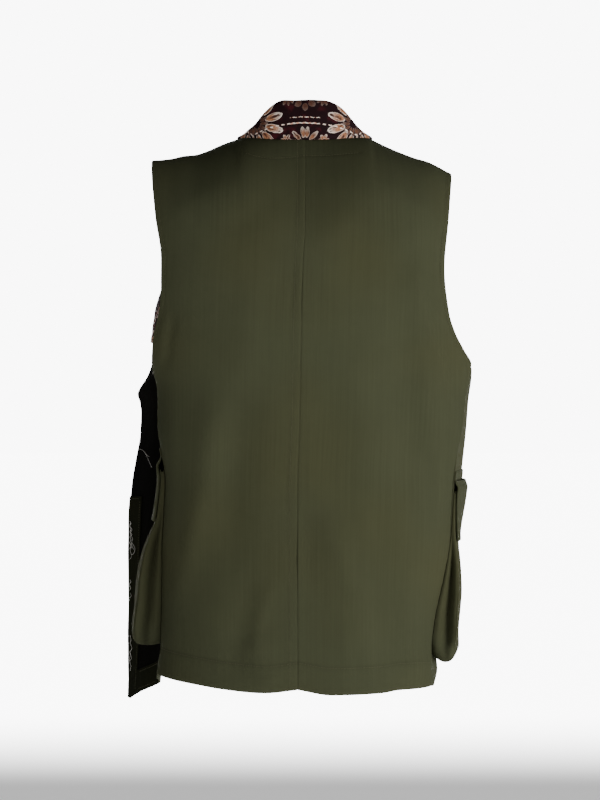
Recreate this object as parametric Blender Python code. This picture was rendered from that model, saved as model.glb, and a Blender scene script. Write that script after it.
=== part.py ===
"""An open utility waistcoat with a brocade shawl collar and two bellows pockets, worn form.

Metres, +Z up. The garment keeps the hollow shape it has on a general figure: the back lies at +Y,
the fronts at -Y, the wearer's left side at +X. The origin lies midway between the two neck points
of the shoulders. Every cloth piece is a wall of even thickness round a sheet of points. A sheet
runs in rows from the hem up to the shoulder, and in columns from the centre back to the side, or
from the side to the front edge.
"""

from typing import NamedTuple

import bmesh
import bpy
import numpy as np

# Driving sizes of the cloth, in metres
CLOTH = 0.0016
COLLAR_CLOTH = 0.0022
FLAP_CLOTH = 0.0026
SEAM_GAP = 0.0003
LAY_GAP = 0.0007
EDGE_GAP = 0.0006
COLLAR_GAP = 0.0026

# Neck and shoulders
NECK_HALF_WIDTH = 0.086
NECK_DEPTH = 0.058
NECK_DROP = 0.006
NECK_POWER = 2.3
NECK_FLATNESS = 0.62

# Rows of every sheet: from the hem to the underarm, then up to the shoulder
ROWS_BELOW = 14
ROWS_ABOVE = 14
ROWS = ROWS_BELOW + ROWS_ABOVE
NECK_COLUMNS = 6
SHOULDER_COLUMNS = 8
SIDE_COLUMNS = 9
FRONT_COLUMNS = 7

# Roundness of the back: exponent of the section, and the height over which it rolls to the seam
SECTION_POWER = 2.4
ROLL_AT_NECK = 0.15
ROLL_AT_SHOULDER = 0.105
ROLL_POWER_NECK = 1.45
ROLL_POWER_SHOULDER = 2.0
GATHER_FROM = 0.9
COLUMN_CROWDING = 0.86


class BackRow(NamedTuple):
    """One height of a back half: its outer edge and the half width of the figure there."""

    z: float
    edge: float
    figure: float


class ArmholeRow(NamedTuple):
    """One place on the front edge of an armhole."""

    z: float
    x: float
    y: float


class FrontRow(NamedTuple):
    """One row of a front, named by its z at the side: the panel seam and the front edge."""

    side_z: float
    seam_x: float
    seam_y: float
    seam_z: float
    edge_x: float
    edge_y: float
    edge_z: float


class Point(NamedTuple):
    """A value at a place."""

    at: float
    value: float


class Fold(NamedTuple):
    """A soft ridge (height above 0) or trough on the back, from one place to another."""

    x0: float
    z0: float
    x1: float
    z1: float
    width: float
    height: float


# Outline of the back's two halves, hem to shoulder tip
BACK_ROWS = {
    "left": (
        BackRow(-0.697, 0.1915, 0.1945),
        BackRow(-0.660, 0.1870, 0.1890),
        BackRow(-0.600, 0.1860, 0.1885),
        BackRow(-0.533, 0.1850, 0.1875),
        BackRow(-0.450, 0.1812, 0.1850),
        BackRow(-0.410, 0.1868, 0.1900),
        BackRow(-0.385, 0.1905, 0.1935),
        BackRow(-0.326, 0.1920, 0.1950),
        BackRow(-0.299, 0.1985, 0.2000),
        BackRow(-0.264, 0.1970, 0.2080),
        BackRow(-0.228, 0.1900, 0.2120),
        BackRow(-0.198, 0.1850, 0.2150),
        BackRow(-0.159, 0.1840, 0.2180),
        BackRow(-0.108, 0.1910, 0.2230),
        BackRow(-0.054, 0.1975, 0.2280),
        BackRow(-0.028, 0.2000, 0.2300),
    ),
    "right": (
        BackRow(-0.711, 0.1600, 0.1690),
        BackRow(-0.684, 0.1610, 0.1770),
        BackRow(-0.660, 0.1620, 0.1730),
        BackRow(-0.628, 0.1670, 0.1745),
        BackRow(-0.597, 0.1735, 0.1800),
        BackRow(-0.566, 0.1800, 0.1870),
        BackRow(-0.516, 0.1880, 0.1965),
        BackRow(-0.450, 0.1910, 0.2080),
        BackRow(-0.394, 0.1985, 0.2110),
        BackRow(-0.342, 0.2070, 0.2135),
        BackRow(-0.298, 0.2160, 0.2185),
        BackRow(-0.277, 0.2035, 0.2190),
        BackRow(-0.256, 0.1920, 0.2180),
        BackRow(-0.230, 0.1836, 0.2170),
        BackRow(-0.175, 0.1773, 0.2170),
        BackRow(-0.107, 0.1836, 0.2190),
        BackRow(-0.045, 0.1913, 0.2230),
    ),
}

# How far the centre back stands behind the origin
BACK_DEPTH = (
    Point(-0.720, 0.118),
    Point(-0.600, 0.112),
    Point(-0.450, 0.104),
    Point(-0.340, 0.107),
    Point(-0.230, 0.115),
    Point(-0.140, 0.116),
    Point(0.000, 0.108),
)

# The centre-back seam leans towards the wearer's left
CENTRE_SEAM = (
    Point(-0.720, 0.0095),
    Point(-0.449, 0.0095),
    Point(-0.373, 0.0070),
    Point(-0.241, 0.0045),
    Point(-0.160, 0.0021),
    Point(-0.120, 0.0),
    Point(0.010, 0.0),
)

# Hem height by the distance from the centre back
HEM = {
    "left": (
        Point(0.0, -0.7055),
        Point(0.045, -0.7100),
        Point(0.110, -0.7060),
        Point(0.137, -0.7030),
        Point(0.200, -0.6970),
    ),
    "right": (
        Point(0.0, -0.7055),
        Point(0.050, -0.7126),
        Point(0.120, -0.7118),
        Point(0.145, -0.7095),
        Point(0.200, -0.7110),
    ),
}

# Shoulder line from the neck point outwards
SHOULDER = {
    "left": (
        Point(0.086, 0.0),
        Point(0.109, -0.0078),
        Point(0.127, -0.0154),
        Point(0.144, -0.0207),
        Point(0.157, -0.0218),
        Point(0.176, -0.0258),
        Point(0.200, -0.0280),
    ),
    "right": (
        Point(0.086, 0.0),
        Point(0.107, -0.0104),
        Point(0.125, -0.0183),
        Point(0.144, -0.0253),
        Point(0.160, -0.0295),
        Point(0.181, -0.0394),
        Point(0.1913, -0.0453),
    ),
}

UNDERARM_Z = {"left": -0.299, "right": -0.298}
UNDERARM_CENTRE = -0.298

# Fronts, hem to shoulder. The left one is swung open at its panel seam, the right one hangs.
FRONT_ROWS = {
    "left": (
        FrontRow(-0.697, 0.2036, -0.155, -0.736, 0.2494, -0.220, -0.7667),
        FrontRow(-0.600, 0.1945, -0.156, -0.626, 0.2494, -0.220, -0.6500),
        FrontRow(-0.500, 0.1900, -0.157, -0.513, 0.2494, -0.220, -0.5240),
        FrontRow(-0.455, 0.1880, -0.157, -0.463, 0.2460, -0.220, -0.4650),
        FrontRow(-0.420, 0.1880, -0.157, -0.426, 0.2404, -0.220, -0.4290),
        FrontRow(-0.380, 0.1885, -0.156, -0.386, 0.2332, -0.220, -0.3900),
        FrontRow(-0.340, 0.1890, -0.154, -0.347, 0.2325, -0.220, -0.3600),
        FrontRow(-0.318, 0.1890, -0.152, -0.327, 0.2340, -0.220, -0.3455),
        FrontRow(-0.299, 0.1890, -0.150, -0.310, 0.2374, -0.220, -0.3330),
        FrontRow(-0.284, 0.1875, -0.147, -0.293, 0.2235, -0.206, -0.3110),
        FrontRow(-0.264, 0.1845, -0.140, -0.270, 0.2125, -0.188, -0.2820),
        FrontRow(-0.200, 0.1790, -0.124, -0.200, 0.2010, -0.168, -0.2050),
        FrontRow(-0.150, 0.1660, -0.120, -0.148, 0.1720, -0.160, -0.1500),
        FrontRow(-0.100, 0.1510, -0.101, -0.098, 0.1330, -0.135, -0.0970),
        FrontRow(-0.060, 0.1445, -0.067, -0.055, 0.1030, -0.082, -0.0480),
        FrontRow(-0.038, 0.1432, -0.033, -0.031, 0.0900, -0.038, -0.0130),
        FrontRow(-0.028, 0.1430, 0.0, -0.0205, 0.0860, 0.0, 0.0),
    ),
    "right": (
        FrontRow(-0.711, 0.1500, -0.126, -0.734, 0.0760, -0.160, -0.7480),
        FrontRow(-0.600, 0.1560, -0.129, -0.621, 0.0800, -0.163, -0.6340),
        FrontRow(-0.500, 0.1650, -0.132, -0.513, 0.0840, -0.166, -0.5210),
        FrontRow(-0.420, 0.1740, -0.134, -0.427, 0.0880, -0.168, -0.4350),
        FrontRow(-0.340, 0.1780, -0.134, -0.347, 0.0920, -0.168, -0.3620),
        FrontRow(-0.298, 0.1760, -0.133, -0.310, 0.0930, -0.166, -0.3330),
        FrontRow(-0.256, 0.1640, -0.128, -0.264, 0.0960, -0.160, -0.2750),
        FrontRow(-0.200, 0.1480, -0.118, -0.200, 0.0990, -0.146, -0.2050),
        FrontRow(-0.150, 0.1400, -0.107, -0.150, 0.0990, -0.127, -0.1500),
        FrontRow(-0.100, 0.1380, -0.087, -0.100, 0.0970, -0.100, -0.0970),
        FrontRow(-0.070, 0.1380, -0.062, -0.060, 0.0930, -0.068, -0.0480),
        FrontRow(-0.053, 0.1385, -0.031, -0.034, 0.0885, -0.033, -0.0130),
        FrontRow(-0.045, 0.1386, 0.0, -0.0235, 0.0860, 0.0, 0.0),
    ),
}

# Front edge of each armhole, from the underarm up to the shoulder tip
ARMHOLE_ROWS = {
    "left": (
        ArmholeRow(-0.291, 0.1975, -0.004),
        ArmholeRow(-0.278, 0.1955, -0.028),
        ArmholeRow(-0.250, 0.1895, -0.053),
        ArmholeRow(-0.200, 0.1765, -0.072),
        ArmholeRow(-0.150, 0.1720, -0.078),
        ArmholeRow(-0.100, 0.1780, -0.068),
        ArmholeRow(-0.060, 0.1885, -0.044),
        ArmholeRow(-0.038, 0.1965, -0.020),
        ArmholeRow(-0.028, 0.2000, 0.0),
    ),
    "right": (
        ArmholeRow(-0.290, 0.2125, -0.008),
        ArmholeRow(-0.275, 0.2060, -0.032),
        ArmholeRow(-0.245, 0.1930, -0.056),
        ArmholeRow(-0.200, 0.1755, -0.072),
        ArmholeRow(-0.150, 0.1680, -0.076),
        ArmholeRow(-0.100, 0.1720, -0.064),
        ArmholeRow(-0.070, 0.1810, -0.042),
        ArmholeRow(-0.053, 0.1885, -0.018),
        ArmholeRow(-0.045, 0.1913, 0.0),
    ),
}

# Outward swell of the side front between its seams, by height, and of the centre front
SIDE_SWELL = {
    "left": (
        Point(-0.697, 0.0),
        Point(-0.450, 0.001),
        Point(-0.385, 0.004),
        Point(-0.299, 0.006),
        Point(-0.100, 0.004),
        Point(-0.028, 0.0),
    ),
    "right": (
        Point(-0.711, 0.0140),
        Point(-0.684, 0.0175),
        Point(-0.660, 0.0125),
        Point(-0.628, 0.0075),
        Point(-0.566, 0.0115),
        Point(-0.516, 0.0167),
        Point(-0.450, 0.0250),
        Point(-0.394, 0.0245),
        Point(-0.298, 0.0225),
        Point(-0.200, 0.0100),
        Point(-0.100, 0.0050),
        Point(-0.045, 0.0),
    ),
}
FRONT_SWELL = {"left": 0.004, "right": 0.007}

# The largest soft folds of the back
FOLDS = {
    "left": (
        Fold(0.112, -0.345, 0.170, -0.580, 0.030, 0.0050),
        Fold(0.060, -0.640, 0.038, -0.705, 0.024, 0.0040),
        Fold(0.182, -0.245, 0.186, -0.330, 0.016, 0.0025),
        Fold(0.078, -0.330, 0.100, -0.560, 0.028, -0.0040),
    ),
    "right": (
        Fold(0.131, -0.170, 0.160, -0.300, 0.022, 0.0045),
        Fold(0.160, -0.300, 0.184, -0.430, 0.024, 0.0065),
        Fold(0.115, -0.260, 0.145, -0.470, 0.028, -0.0060),
        Fold(0.030, -0.500, 0.075, -0.690, 0.030, 0.0045),
        Fold(0.095, -0.560, 0.115, -0.705, 0.026, -0.0035),
    ),
}

# Lapel width by the height of the front edge, and the collar's roll line above the neck seam
LAPEL_WIDTH = (
    Point(-0.264, 0.010),
    Point(-0.250, 0.024),
    Point(-0.225, 0.040),
    Point(-0.180, 0.054),
    Point(-0.120, 0.054),
    Point(-0.070, 0.032),
    Point(-0.035, 0.014),
    Point(-0.012, 0.006),
    Point(-0.003, 0.005),
)
COLLAR_ROLL = (
    Point(0.000, 0.0425),
    Point(0.027, 0.0420),
    Point(0.037, 0.0390),
    Point(0.047, 0.0320),
    Point(0.058, 0.0215),
    Point(0.070, 0.0110),
    Point(0.078, 0.0080),
    Point(0.086, 0.0068),
)
COLLAR_TUCK = 0.006
COLLAR_STAND = 0.004
COLLAR_EASE = 0.0016
COLLAR_SPREAD = 0.006
COLLAR_FALL_OUT = 0.0025
COLLAR_BOW = 0.002
LAPEL_FROM_ROW = ROWS_BELOW + 4
TUCK_ENDS = -0.080
COLLAR_LIFTS = -0.020
COLLAR_STATIONS = 9
COLLAR_FALL_POINTS = 7

# Pocket: heights on each side and how far its pouch stands off at each height
POCKET_FRONT = 0.90
POCKET_REAR = 0.012
POCKET_BAND_HEIGHT = 0.011
POCKET_SLOPE = 0.3
FLAP_LENGTH = {"left": 0.082, "right": 0.076}
FLAP_TOP = {"left": -0.418, "right": -0.447}
POUCH_TOP = {"left": -0.432, "right": -0.460}
POUCH_FOOT = {"left": -0.662, "right": -0.682}
POUCH_DEPTH = {
    "left": (
        Point(-0.662, 0.0310),
        Point(-0.642, 0.0340),
        Point(-0.605, 0.0310),
        Point(-0.575, 0.0285),
        Point(-0.547, 0.0235),
        Point(-0.522, 0.0165),
        Point(-0.500, 0.0085),
        Point(-0.432, 0.0040),
    ),
    "right": (
        Point(-0.682, 0.0270),
        Point(-0.640, 0.0290),
        Point(-0.597, 0.0240),
        Point(-0.566, 0.0170),
        Point(-0.516, 0.0070),
        Point(-0.460, 0.0040),
    ),
}
POUCH_SWELL = 0.0045
FLAP_SWELL = 0.0030
POUCH_CORNER = 0.16
POUCH_COLUMNS = 8
POUCH_ROWS = 10
GUSSET_STEPS = (0.5, 0.0)
GUSSET_PLEAT = 0.007
PLEAT_FROM = 0.012
PLEAT_GROWS_OVER = 0.02
FLAP_STEPS = 5
FLAP_COLUMNS = 8
FLAP_CLEAR = 0.0018
FLAP_OVERHANG = 0.008
BAND_CLEAR = 0.0015

# Bands on the centre front
HEM_BAND_HEIGHT = 0.031
EDGE_STRIP_WIDTH = 0.030
EDGE_STRIP_TOP = -0.480
HEM_BAND_COLUMNS = 5
EDGE_STRIP_ROWS = 9
BAND_INSET = 0.05
STRIP_INSET = 0.03

SIGN = {"left": 1.0, "right": -1.0}


def curve(points, at):
    """A smooth curve through a table that never swings past its rows."""
    xs = np.array([point.at for point in points])
    ys = np.array([point.value for point in points])
    return monotone(xs, ys, at)


def monotone(xs, ys, at):
    """Monotone cubic interpolation of ys over rising xs."""
    step = np.diff(xs)
    slope = np.diff(ys) / step
    tangent = np.zeros_like(ys)
    for i in range(1, len(xs) - 1):
        if slope[i - 1] * slope[i] > 0.0:
            w0 = 2.0 * step[i] + step[i - 1]
            w1 = step[i] + 2.0 * step[i - 1]
            tangent[i] = (w0 + w1) / (w0 / slope[i - 1] + w1 / slope[i])
    tangent[0] = slope[0]
    tangent[-1] = slope[-1]
    x = float(np.clip(at, xs[0], xs[-1]))
    i = int(np.clip(np.searchsorted(xs, x) - 1, 0, len(step) - 1))
    t = (x - xs[i]) / step[i]
    h00 = (1.0 + 2.0 * t) * (1.0 - t) ** 2
    h10 = t * (1.0 - t) ** 2
    h01 = t * t * (3.0 - 2.0 * t)
    h11 = t * t * (t - 1.0)
    value = h00 * ys[i] + h10 * step[i] * tangent[i]
    return float(value + h01 * ys[i + 1] + h11 * step[i] * tangent[i + 1])


def column(rows, key, name, at):
    """Read one named column of a table of rows at a height."""
    xs = np.array([getattr(row, key) for row in rows])
    ys = np.array([getattr(row, name) for row in rows])
    return monotone(xs, ys, at)


def ease(value):
    """Smooth step from 0 to 1."""
    t = float(np.clip(value, 0.0, 1.0))
    return t * t * (3.0 - 2.0 * t)


def row_share(row):
    """Where a row lies: 0 at the hem, 1 at the underarm, 2 at the shoulder."""
    if row <= ROWS_BELOW:
        return row / ROWS_BELOW
    return 1.5 - 0.5 * np.cos(np.pi * (row - ROWS_BELOW) / ROWS_ABOVE)


def between(share, low, middle, high):
    """A height at a row share, from the heights at hem, underarm and shoulder."""
    if share <= 1.0:
        return low + (middle - low) * share
    return middle + (high - middle) * (share - 1.0)


def neck_y(x):
    """How far behind the neck points the back neckline lies."""
    reach = min(abs(x) / NECK_HALF_WIDTH, 1.0)
    return NECK_DEPTH * (1.0 - reach ** NECK_POWER) ** NECK_FLATNESS


def top_z(side, x):
    """Height of the back's top edge: neckline, then shoulder line."""
    if x <= NECK_HALF_WIDTH:
        return -NECK_DROP * (1.0 - (x / NECK_HALF_WIDTH) ** 2)
    return curve(SHOULDER[side], x)


def fold_height(side, x, z):
    """Sum of the soft folds of a back half at a place."""
    total = 0.0
    for fold in FOLDS[side]:
        run = np.array([fold.x1 - fold.x0, fold.z1 - fold.z0])
        here = np.array([x - fold.x0, z - fold.z0])
        length = np.linalg.norm(run)
        along = float(here @ run) / length ** 2
        across = float(here[0] * run[1] - here[1] * run[0]) / length
        ends = ease((along + 0.15) / 0.4) * ease((1.15 - along) / 0.4)
        total += fold.height * ends * np.exp(-((across / fold.width) ** 2))
    return total


def back_point(side, share, width_share, top_share):
    """A point of a back half. Shares run from the centre (0) to the outer edge (1)."""
    rows = BACK_ROWS[side]
    tip = SHOULDER[side][-1].at
    high = top_z(side, top_share * tip)
    low = curve(HEM[side], width_share * tip)
    underarm = UNDERARM_Z[side] + (1.0 - width_share) * (UNDERARM_CENTRE - UNDERARM_Z[side])
    z = between(share, low, underarm, high)
    edge_z = between(share, rows[0].z, UNDERARM_Z[side], rows[-1].z)
    edge = column(rows, "z", "edge", edge_z)
    figure = column(rows, "z", "figure", edge_z)
    gather = ease((share - GATHER_FROM) / (2.0 - GATHER_FROM))
    reach = width_share + (top_share - width_share) * gather
    centre = curve(CENTRE_SEAM, z)
    x = centre + (SIGN[side] * edge - centre) * reach
    across = min(abs(x) / figure, 1.0)
    depth = curve(BACK_DEPTH, z)
    y = depth * (1.0 - across ** SECTION_POWER) ** (1.0 / SECTION_POWER)
    lean = ease(abs(x) / NECK_HALF_WIDTH)
    roll = ROLL_AT_NECK + (ROLL_AT_SHOULDER - ROLL_AT_NECK) * lean
    power = ROLL_POWER_NECK + (ROLL_POWER_SHOULDER - ROLL_POWER_NECK) * lean
    fall = float(np.clip((high - z) / roll, 0.0, 1.0))
    seam_y = neck_y(x)
    y = seam_y + (y - seam_y) * (1.0 - (1.0 - fall) ** power) ** (1.0 / power)
    y += fold_height(side, abs(x), z) * (1.0 - 0.8 * across ** 4) * ease(fall * 2.0)
    return np.array([x, y, z])


def back_sheet(side):
    """All points of a back half, rows by columns."""
    tip = SHOULDER[side][-1].at
    neck = NECK_HALF_WIDTH / tip
    count = NECK_COLUMNS + SHOULDER_COLUMNS
    grid = np.zeros((ROWS + 1, count + 1, 3))
    for j in range(count + 1):
        if j <= NECK_COLUMNS:
            top_share = neck * j / NECK_COLUMNS
        else:
            top_share = neck + (1.0 - neck) * (j - NECK_COLUMNS) / SHOULDER_COLUMNS
        width_share = np.sin(j / count * np.pi / 2.0) ** COLUMN_CROWDING
        for i in range(ROWS + 1):
            grid[i, j] = back_point(side, row_share(i), width_share, top_share)
    return grid


def section_curve(points, at):
    """Catmull-Rom curve through five points of a front's row, at 0 to 4."""
    i = int(np.clip(np.floor(at), 0, len(points) - 2))
    t = at - i
    p1 = points[i]
    p2 = points[i + 1]
    p0 = points[i - 1] if i > 0 else 2.0 * p1 - p2
    p3 = points[i + 2] if i + 2 < len(points) else 2.0 * p2 - p1
    return 0.5 * (2.0 * p1 + (p2 - p0) * t + (2.0 * p0 - 5.0 * p1 + 4.0 * p2 - p3) * t ** 2
                  + (3.0 * p1 - p0 - 3.0 * p2 + p3) * t ** 3)


def swollen(a, b, swell):
    """Midpoint of two points of a row, pushed out of the body."""
    across = b - a
    outward = np.array([-across[1], across[0], 0.0])
    length = np.linalg.norm(outward)
    return (a + b) / 2.0 + outward / length * swell


def front_sheet(side, back):
    """All points of a front from the side seam or armhole to the front edge."""
    rows = FRONT_ROWS[side]
    sign = SIGN[side]
    count = SIDE_COLUMNS + FRONT_COLUMNS
    grid = np.zeros((ROWS + 1, count + 1, 3))
    low = rows[0].side_z
    high = rows[-1].side_z
    underarm = back[ROWS_BELOW, -1] * (sign, 1.0, 1.0)
    armhole = (ArmholeRow(UNDERARM_Z[side], underarm[0], underarm[1]), *ARMHOLE_ROWS[side])
    for i in range(ROWS + 1):
        share = row_share(i)
        side_z = between(share, low, UNDERARM_Z[side], high)
        read = {name: column(rows, "side_z", name, side_z) for name in FrontRow._fields[1:]}
        start = back[i, -1] * (sign, 1.0, 1.0)
        if i > ROWS_BELOW:
            start = np.array([column(armhole, "z", "x", side_z), column(armhole, "z", "y", side_z), side_z])
        seam = np.array([read["seam_x"], read["seam_y"], read["seam_z"]])
        edge = np.array([read["edge_x"], read["edge_y"], read["edge_z"]])
        fade = 1.0 - ease(share - 1.0)
        first = swollen(start, seam, curve(SIDE_SWELL[side], side_z))
        second = swollen(seam, edge, FRONT_SWELL[side] * (0.3 + 0.7 * fade))
        stations = [start, first, seam, second, edge]
        for j in range(count + 1):
            if j <= SIDE_COLUMNS:
                at = 2.0 * j / SIDE_COLUMNS
            else:
                at = 2.0 + 2.0 * (j - SIDE_COLUMNS) / FRONT_COLUMNS
            grid[i, j] = section_curve(stations, at)
    settle_on_shoulder(side, grid)
    grid[:, :, 0] *= sign
    return grid


def settle_on_shoulder(side, grid):
    """Bring the top row of a front exactly onto the shoulder line, and ease the rows below."""
    tip = SHOULDER[side][-1].at
    wanted = np.zeros((grid.shape[1], 3))
    for j in range(grid.shape[1]):
        x = float(np.clip(grid[ROWS, j, 0], NECK_HALF_WIDTH, tip))
        wanted[j] = (x, 0.0, curve(SHOULDER[side], x))
    shift = wanted - grid[ROWS]
    for i in range(ROWS_BELOW, ROWS + 1):
        grid[i] += shift * ease((i - ROWS_BELOW) / ROWS_ABOVE)


def sheet_normals(grid, outward):
    """Unit normals of a sheet, pointing away from a place inside the body."""
    across = np.gradient(grid, axis=1)
    up = np.gradient(grid, axis=0)
    normal = np.cross(across, up)
    length = np.linalg.norm(normal, axis=2, keepdims=True)
    normal = normal / np.maximum(length, 1e-12)
    return normal * outward


def share_normals(first, second):
    """Give two edges that meet in a seam the mean of their normals."""
    mean = first + second
    mean /= np.linalg.norm(mean, axis=-1, keepdims=True)
    first[:] = mean
    second[:] = mean


def shoulder_normals(grid, normals, columns):
    """Along the shoulder seam both cloths face straight up from the shoulder line."""
    edge = grid[ROWS]
    run = np.gradient(edge, axis=0)
    for j in columns:
        facing = np.cross(run[j], np.array([0.0, 1.0, 0.0]))
        if facing[2] < 0.0:
            facing = -facing
        normals[ROWS, j] = facing / np.linalg.norm(facing)


def inset(grid, edge, distance):
    """Draw one edge of a sheet back along the sheet, to leave a seam gap."""
    grid = grid.copy()
    lines = {"first_column": (grid[:, 0], grid[:, 1]), "last_column": (grid[:, -1], grid[:, -2]),
             "last_row": (grid[-1], grid[-2])}
    outer, inner = lines[edge]
    step = inner - outer
    outer += step / np.linalg.norm(step, axis=-1, keepdims=True) * distance
    return grid


def wall(name, grid, normals, thickness, finish):
    """A closed cloth wall round a sheet of points."""
    rows, columns = grid.shape[:2]
    mesh = bmesh.new()
    skins = []
    for face in (0.5, -0.5):
        skin = [[mesh.verts.new(grid[i, j] + normals[i, j] * thickness * face) for j in range(columns)]
                for i in range(rows)]
        skins.append(skin)
    for skin in skins:
        for i in range(rows - 1):
            for j in range(columns - 1):
                mesh.faces.new((skin[i][j], skin[i][j + 1], skin[i + 1][j + 1], skin[i + 1][j]))
    rim = [(0, j) for j in range(columns)]
    rim += [(i, columns - 1) for i in range(1, rows)]
    rim += [(rows - 1, j) for j in range(columns - 2, -1, -1)]
    rim += [(i, 0) for i in range(rows - 2, 0, -1)]
    close_rim(mesh, skins, rim)
    return finish_object(name, mesh, finish)


def close_rim(mesh, skins, rim):
    """Join two skins along a closed loop of places."""
    for k, (i, j) in enumerate(rim):
        m, n = rim[(k + 1) % len(rim)]
        mesh.faces.new((skins[0][i][j], skins[0][m][n], skins[1][m][n], skins[1][i][j]))


def finish_object(name, mesh, finish):
    """Turn a mesh into a named object with outward faces, triangles and its own cloth."""
    bmesh.ops.recalc_face_normals(mesh, faces=mesh.faces)
    bmesh.ops.triangulate(mesh, faces=mesh.faces, quad_method="SHORT_EDGE")
    data = bpy.data.meshes.new(name)
    mesh.to_mesh(data)
    mesh.free()
    data.shade_smooth()
    data.set_sharp_from_angle(angle=np.radians(40.0))
    piece = bpy.data.objects.new(name, data)
    bpy.context.scene.collection.objects.link(piece)
    data.materials.append(cloth_material(name, *finish))
    return piece


def cloth_material(name, colour, roughness):
    """A plain cloth finish."""
    material = bpy.data.materials.new(name)
    material.use_nodes = True
    shader = material.node_tree.nodes["Principled BSDF"]
    shader.inputs["Base Color"].default_value = (*colour, 1.0)
    shader.inputs["Roughness"].default_value = roughness
    shader.inputs["Metallic"].default_value = 0.0
    return material


OLIVE = ((0.055, 0.050, 0.026), 0.85)
BLACK = ((0.006, 0.006, 0.005), 0.80)
BROCADE = ((0.045, 0.014, 0.010), 0.55)


class Sheet:
    """A sheet of points with its normals, read at any place between them."""

    def __init__(self, grid, normals):
        self.grid = grid
        self.normals = normals

    def at(self, row, column_place, off):
        """The point at a row and column place, moved out by a distance."""
        i = int(np.clip(np.floor(row), 0, self.grid.shape[0] - 2))
        j = int(np.clip(np.floor(column_place), 0, self.grid.shape[1] - 2))
        s = row - i
        t = column_place - j
        shares = ((i, j, (1 - s) * (1 - t)), (i, j + 1, (1 - s) * t),
                  (i + 1, j, s * (1 - t)), (i + 1, j + 1, s * t))
        point = sum(self.grid[m, n] * share for m, n, share in shares)
        facing = sum(self.normals[m, n] * share for m, n, share in shares)
        facing = facing / np.linalg.norm(facing)
        return point + facing * off, facing

    def row_at(self, column_place, z):
        """The row place where a column passes a height, below the underarm."""
        j = int(np.clip(np.floor(column_place), 0, self.grid.shape[1] - 2))
        t = column_place - j
        heights = self.grid[:, j, 2] * (1 - t) + self.grid[:, j + 1, 2] * t
        return float(np.interp(z, heights, np.arange(len(heights))))

    def column_from_edge(self, row, distance):
        """The column place at a distance from the last column along a row."""
        steps = np.linalg.norm(np.diff(self.row_points(row), axis=0), axis=1)
        lengths = np.concatenate(([0.0], np.cumsum(steps[::-1])))
        places = np.arange(len(lengths))[::-1]
        return float(np.interp(distance, lengths, places))

    def row_points(self, row):
        """All points of a row place."""
        i = int(np.clip(np.floor(row), 0, self.grid.shape[0] - 2))
        s = row - i
        return self.grid[i] * (1 - s) + self.grid[i + 1] * s


def band_on(sheet, name, rows, columns, thickness, finish, lift=0.0):
    """A wall that lies on a sheet over a block of row and column places."""
    off = CLOTH / 2.0 + LAY_GAP + thickness / 2.0 + lift
    grid = np.zeros((len(rows), len(columns), 3))
    normals = np.zeros_like(grid)
    for a, row in enumerate(rows):
        for b, place in enumerate(columns):
            at = row(place) if callable(row) else row
            grid[a, b], normals[a, b] = sheet.at(at, place, off)
    return wall(name, grid, normals, thickness, finish)


def build_bands(side, sheet):
    """The hem band and the edge strip of a centre front."""
    last = SIDE_COLUMNS + FRONT_COLUMNS
    strip_start = sheet.column_from_edge(0.0, EDGE_STRIP_WIDTH)
    gap = sheet.column_from_edge(0.0, EDGE_STRIP_WIDTH + EDGE_GAP)
    first = SIDE_COLUMNS + BAND_INSET
    columns = [first + (gap - first) * k / HEM_BAND_COLUMNS for k in range(HEM_BAND_COLUMNS + 1)]

    def height_row(above):
        def read(place):
            bottom = sheet.at(0.0, place, 0.0)[0][2]
            return sheet.row_at(place, bottom + above)
        return read

    rows = [height_row(EDGE_GAP + (HEM_BAND_HEIGHT - EDGE_GAP) * k / 2) for k in range(3)]
    band_on(sheet, f"front_hem_band_{side}", rows, columns, CLOTH, OLIVE)
    top = sheet.row_at(last, EDGE_STRIP_TOP)
    low = height_row(EDGE_GAP)(last)
    rows = [low + (top - low) * k / EDGE_STRIP_ROWS for k in range(EDGE_STRIP_ROWS + 1)]
    columns = [strip_start, (strip_start + last) / 2.0, last - STRIP_INSET]
    band_on(sheet, f"front_edge_strip_{side}", rows, columns, CLOTH, OLIVE)


def pouch_place(side, sheet, across, down):
    """Row and column place of a pouch point, and its height, with rounded lower corners."""
    u, v = across, down
    corner = POUCH_CORNER
    if v > 1.0 - corner and (u < corner or u > 1.0 - corner):
        centre_u = corner if u < 0.5 else 1.0 - corner
        du = (u - centre_u) / corner
        dv = (v - (1.0 - corner)) / corner
        reach = max(abs(du), abs(dv))
        length = np.hypot(du, dv)
        if length > 0.0:
            u = centre_u + du / length * reach * corner
            v = 1.0 - corner + dv / length * reach * corner
    last = SIDE_COLUMNS
    place = (POCKET_REAR + (POCKET_FRONT - POCKET_REAR) * u) * last
    z = POUCH_TOP[side] + (POUCH_FOOT[side] - POUCH_TOP[side]) * v
    bottom = sheet.at(0.0, place, 0.0)[0][2]
    rear_bottom = sheet.at(0.0, 0.0, 0.0)[0][2]
    z += POCKET_SLOPE * (bottom - rear_bottom) * v
    return sheet.row_at(place, z), place, POUCH_TOP[side] + (POUCH_FOOT[side] - POUCH_TOP[side]) * v


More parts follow.
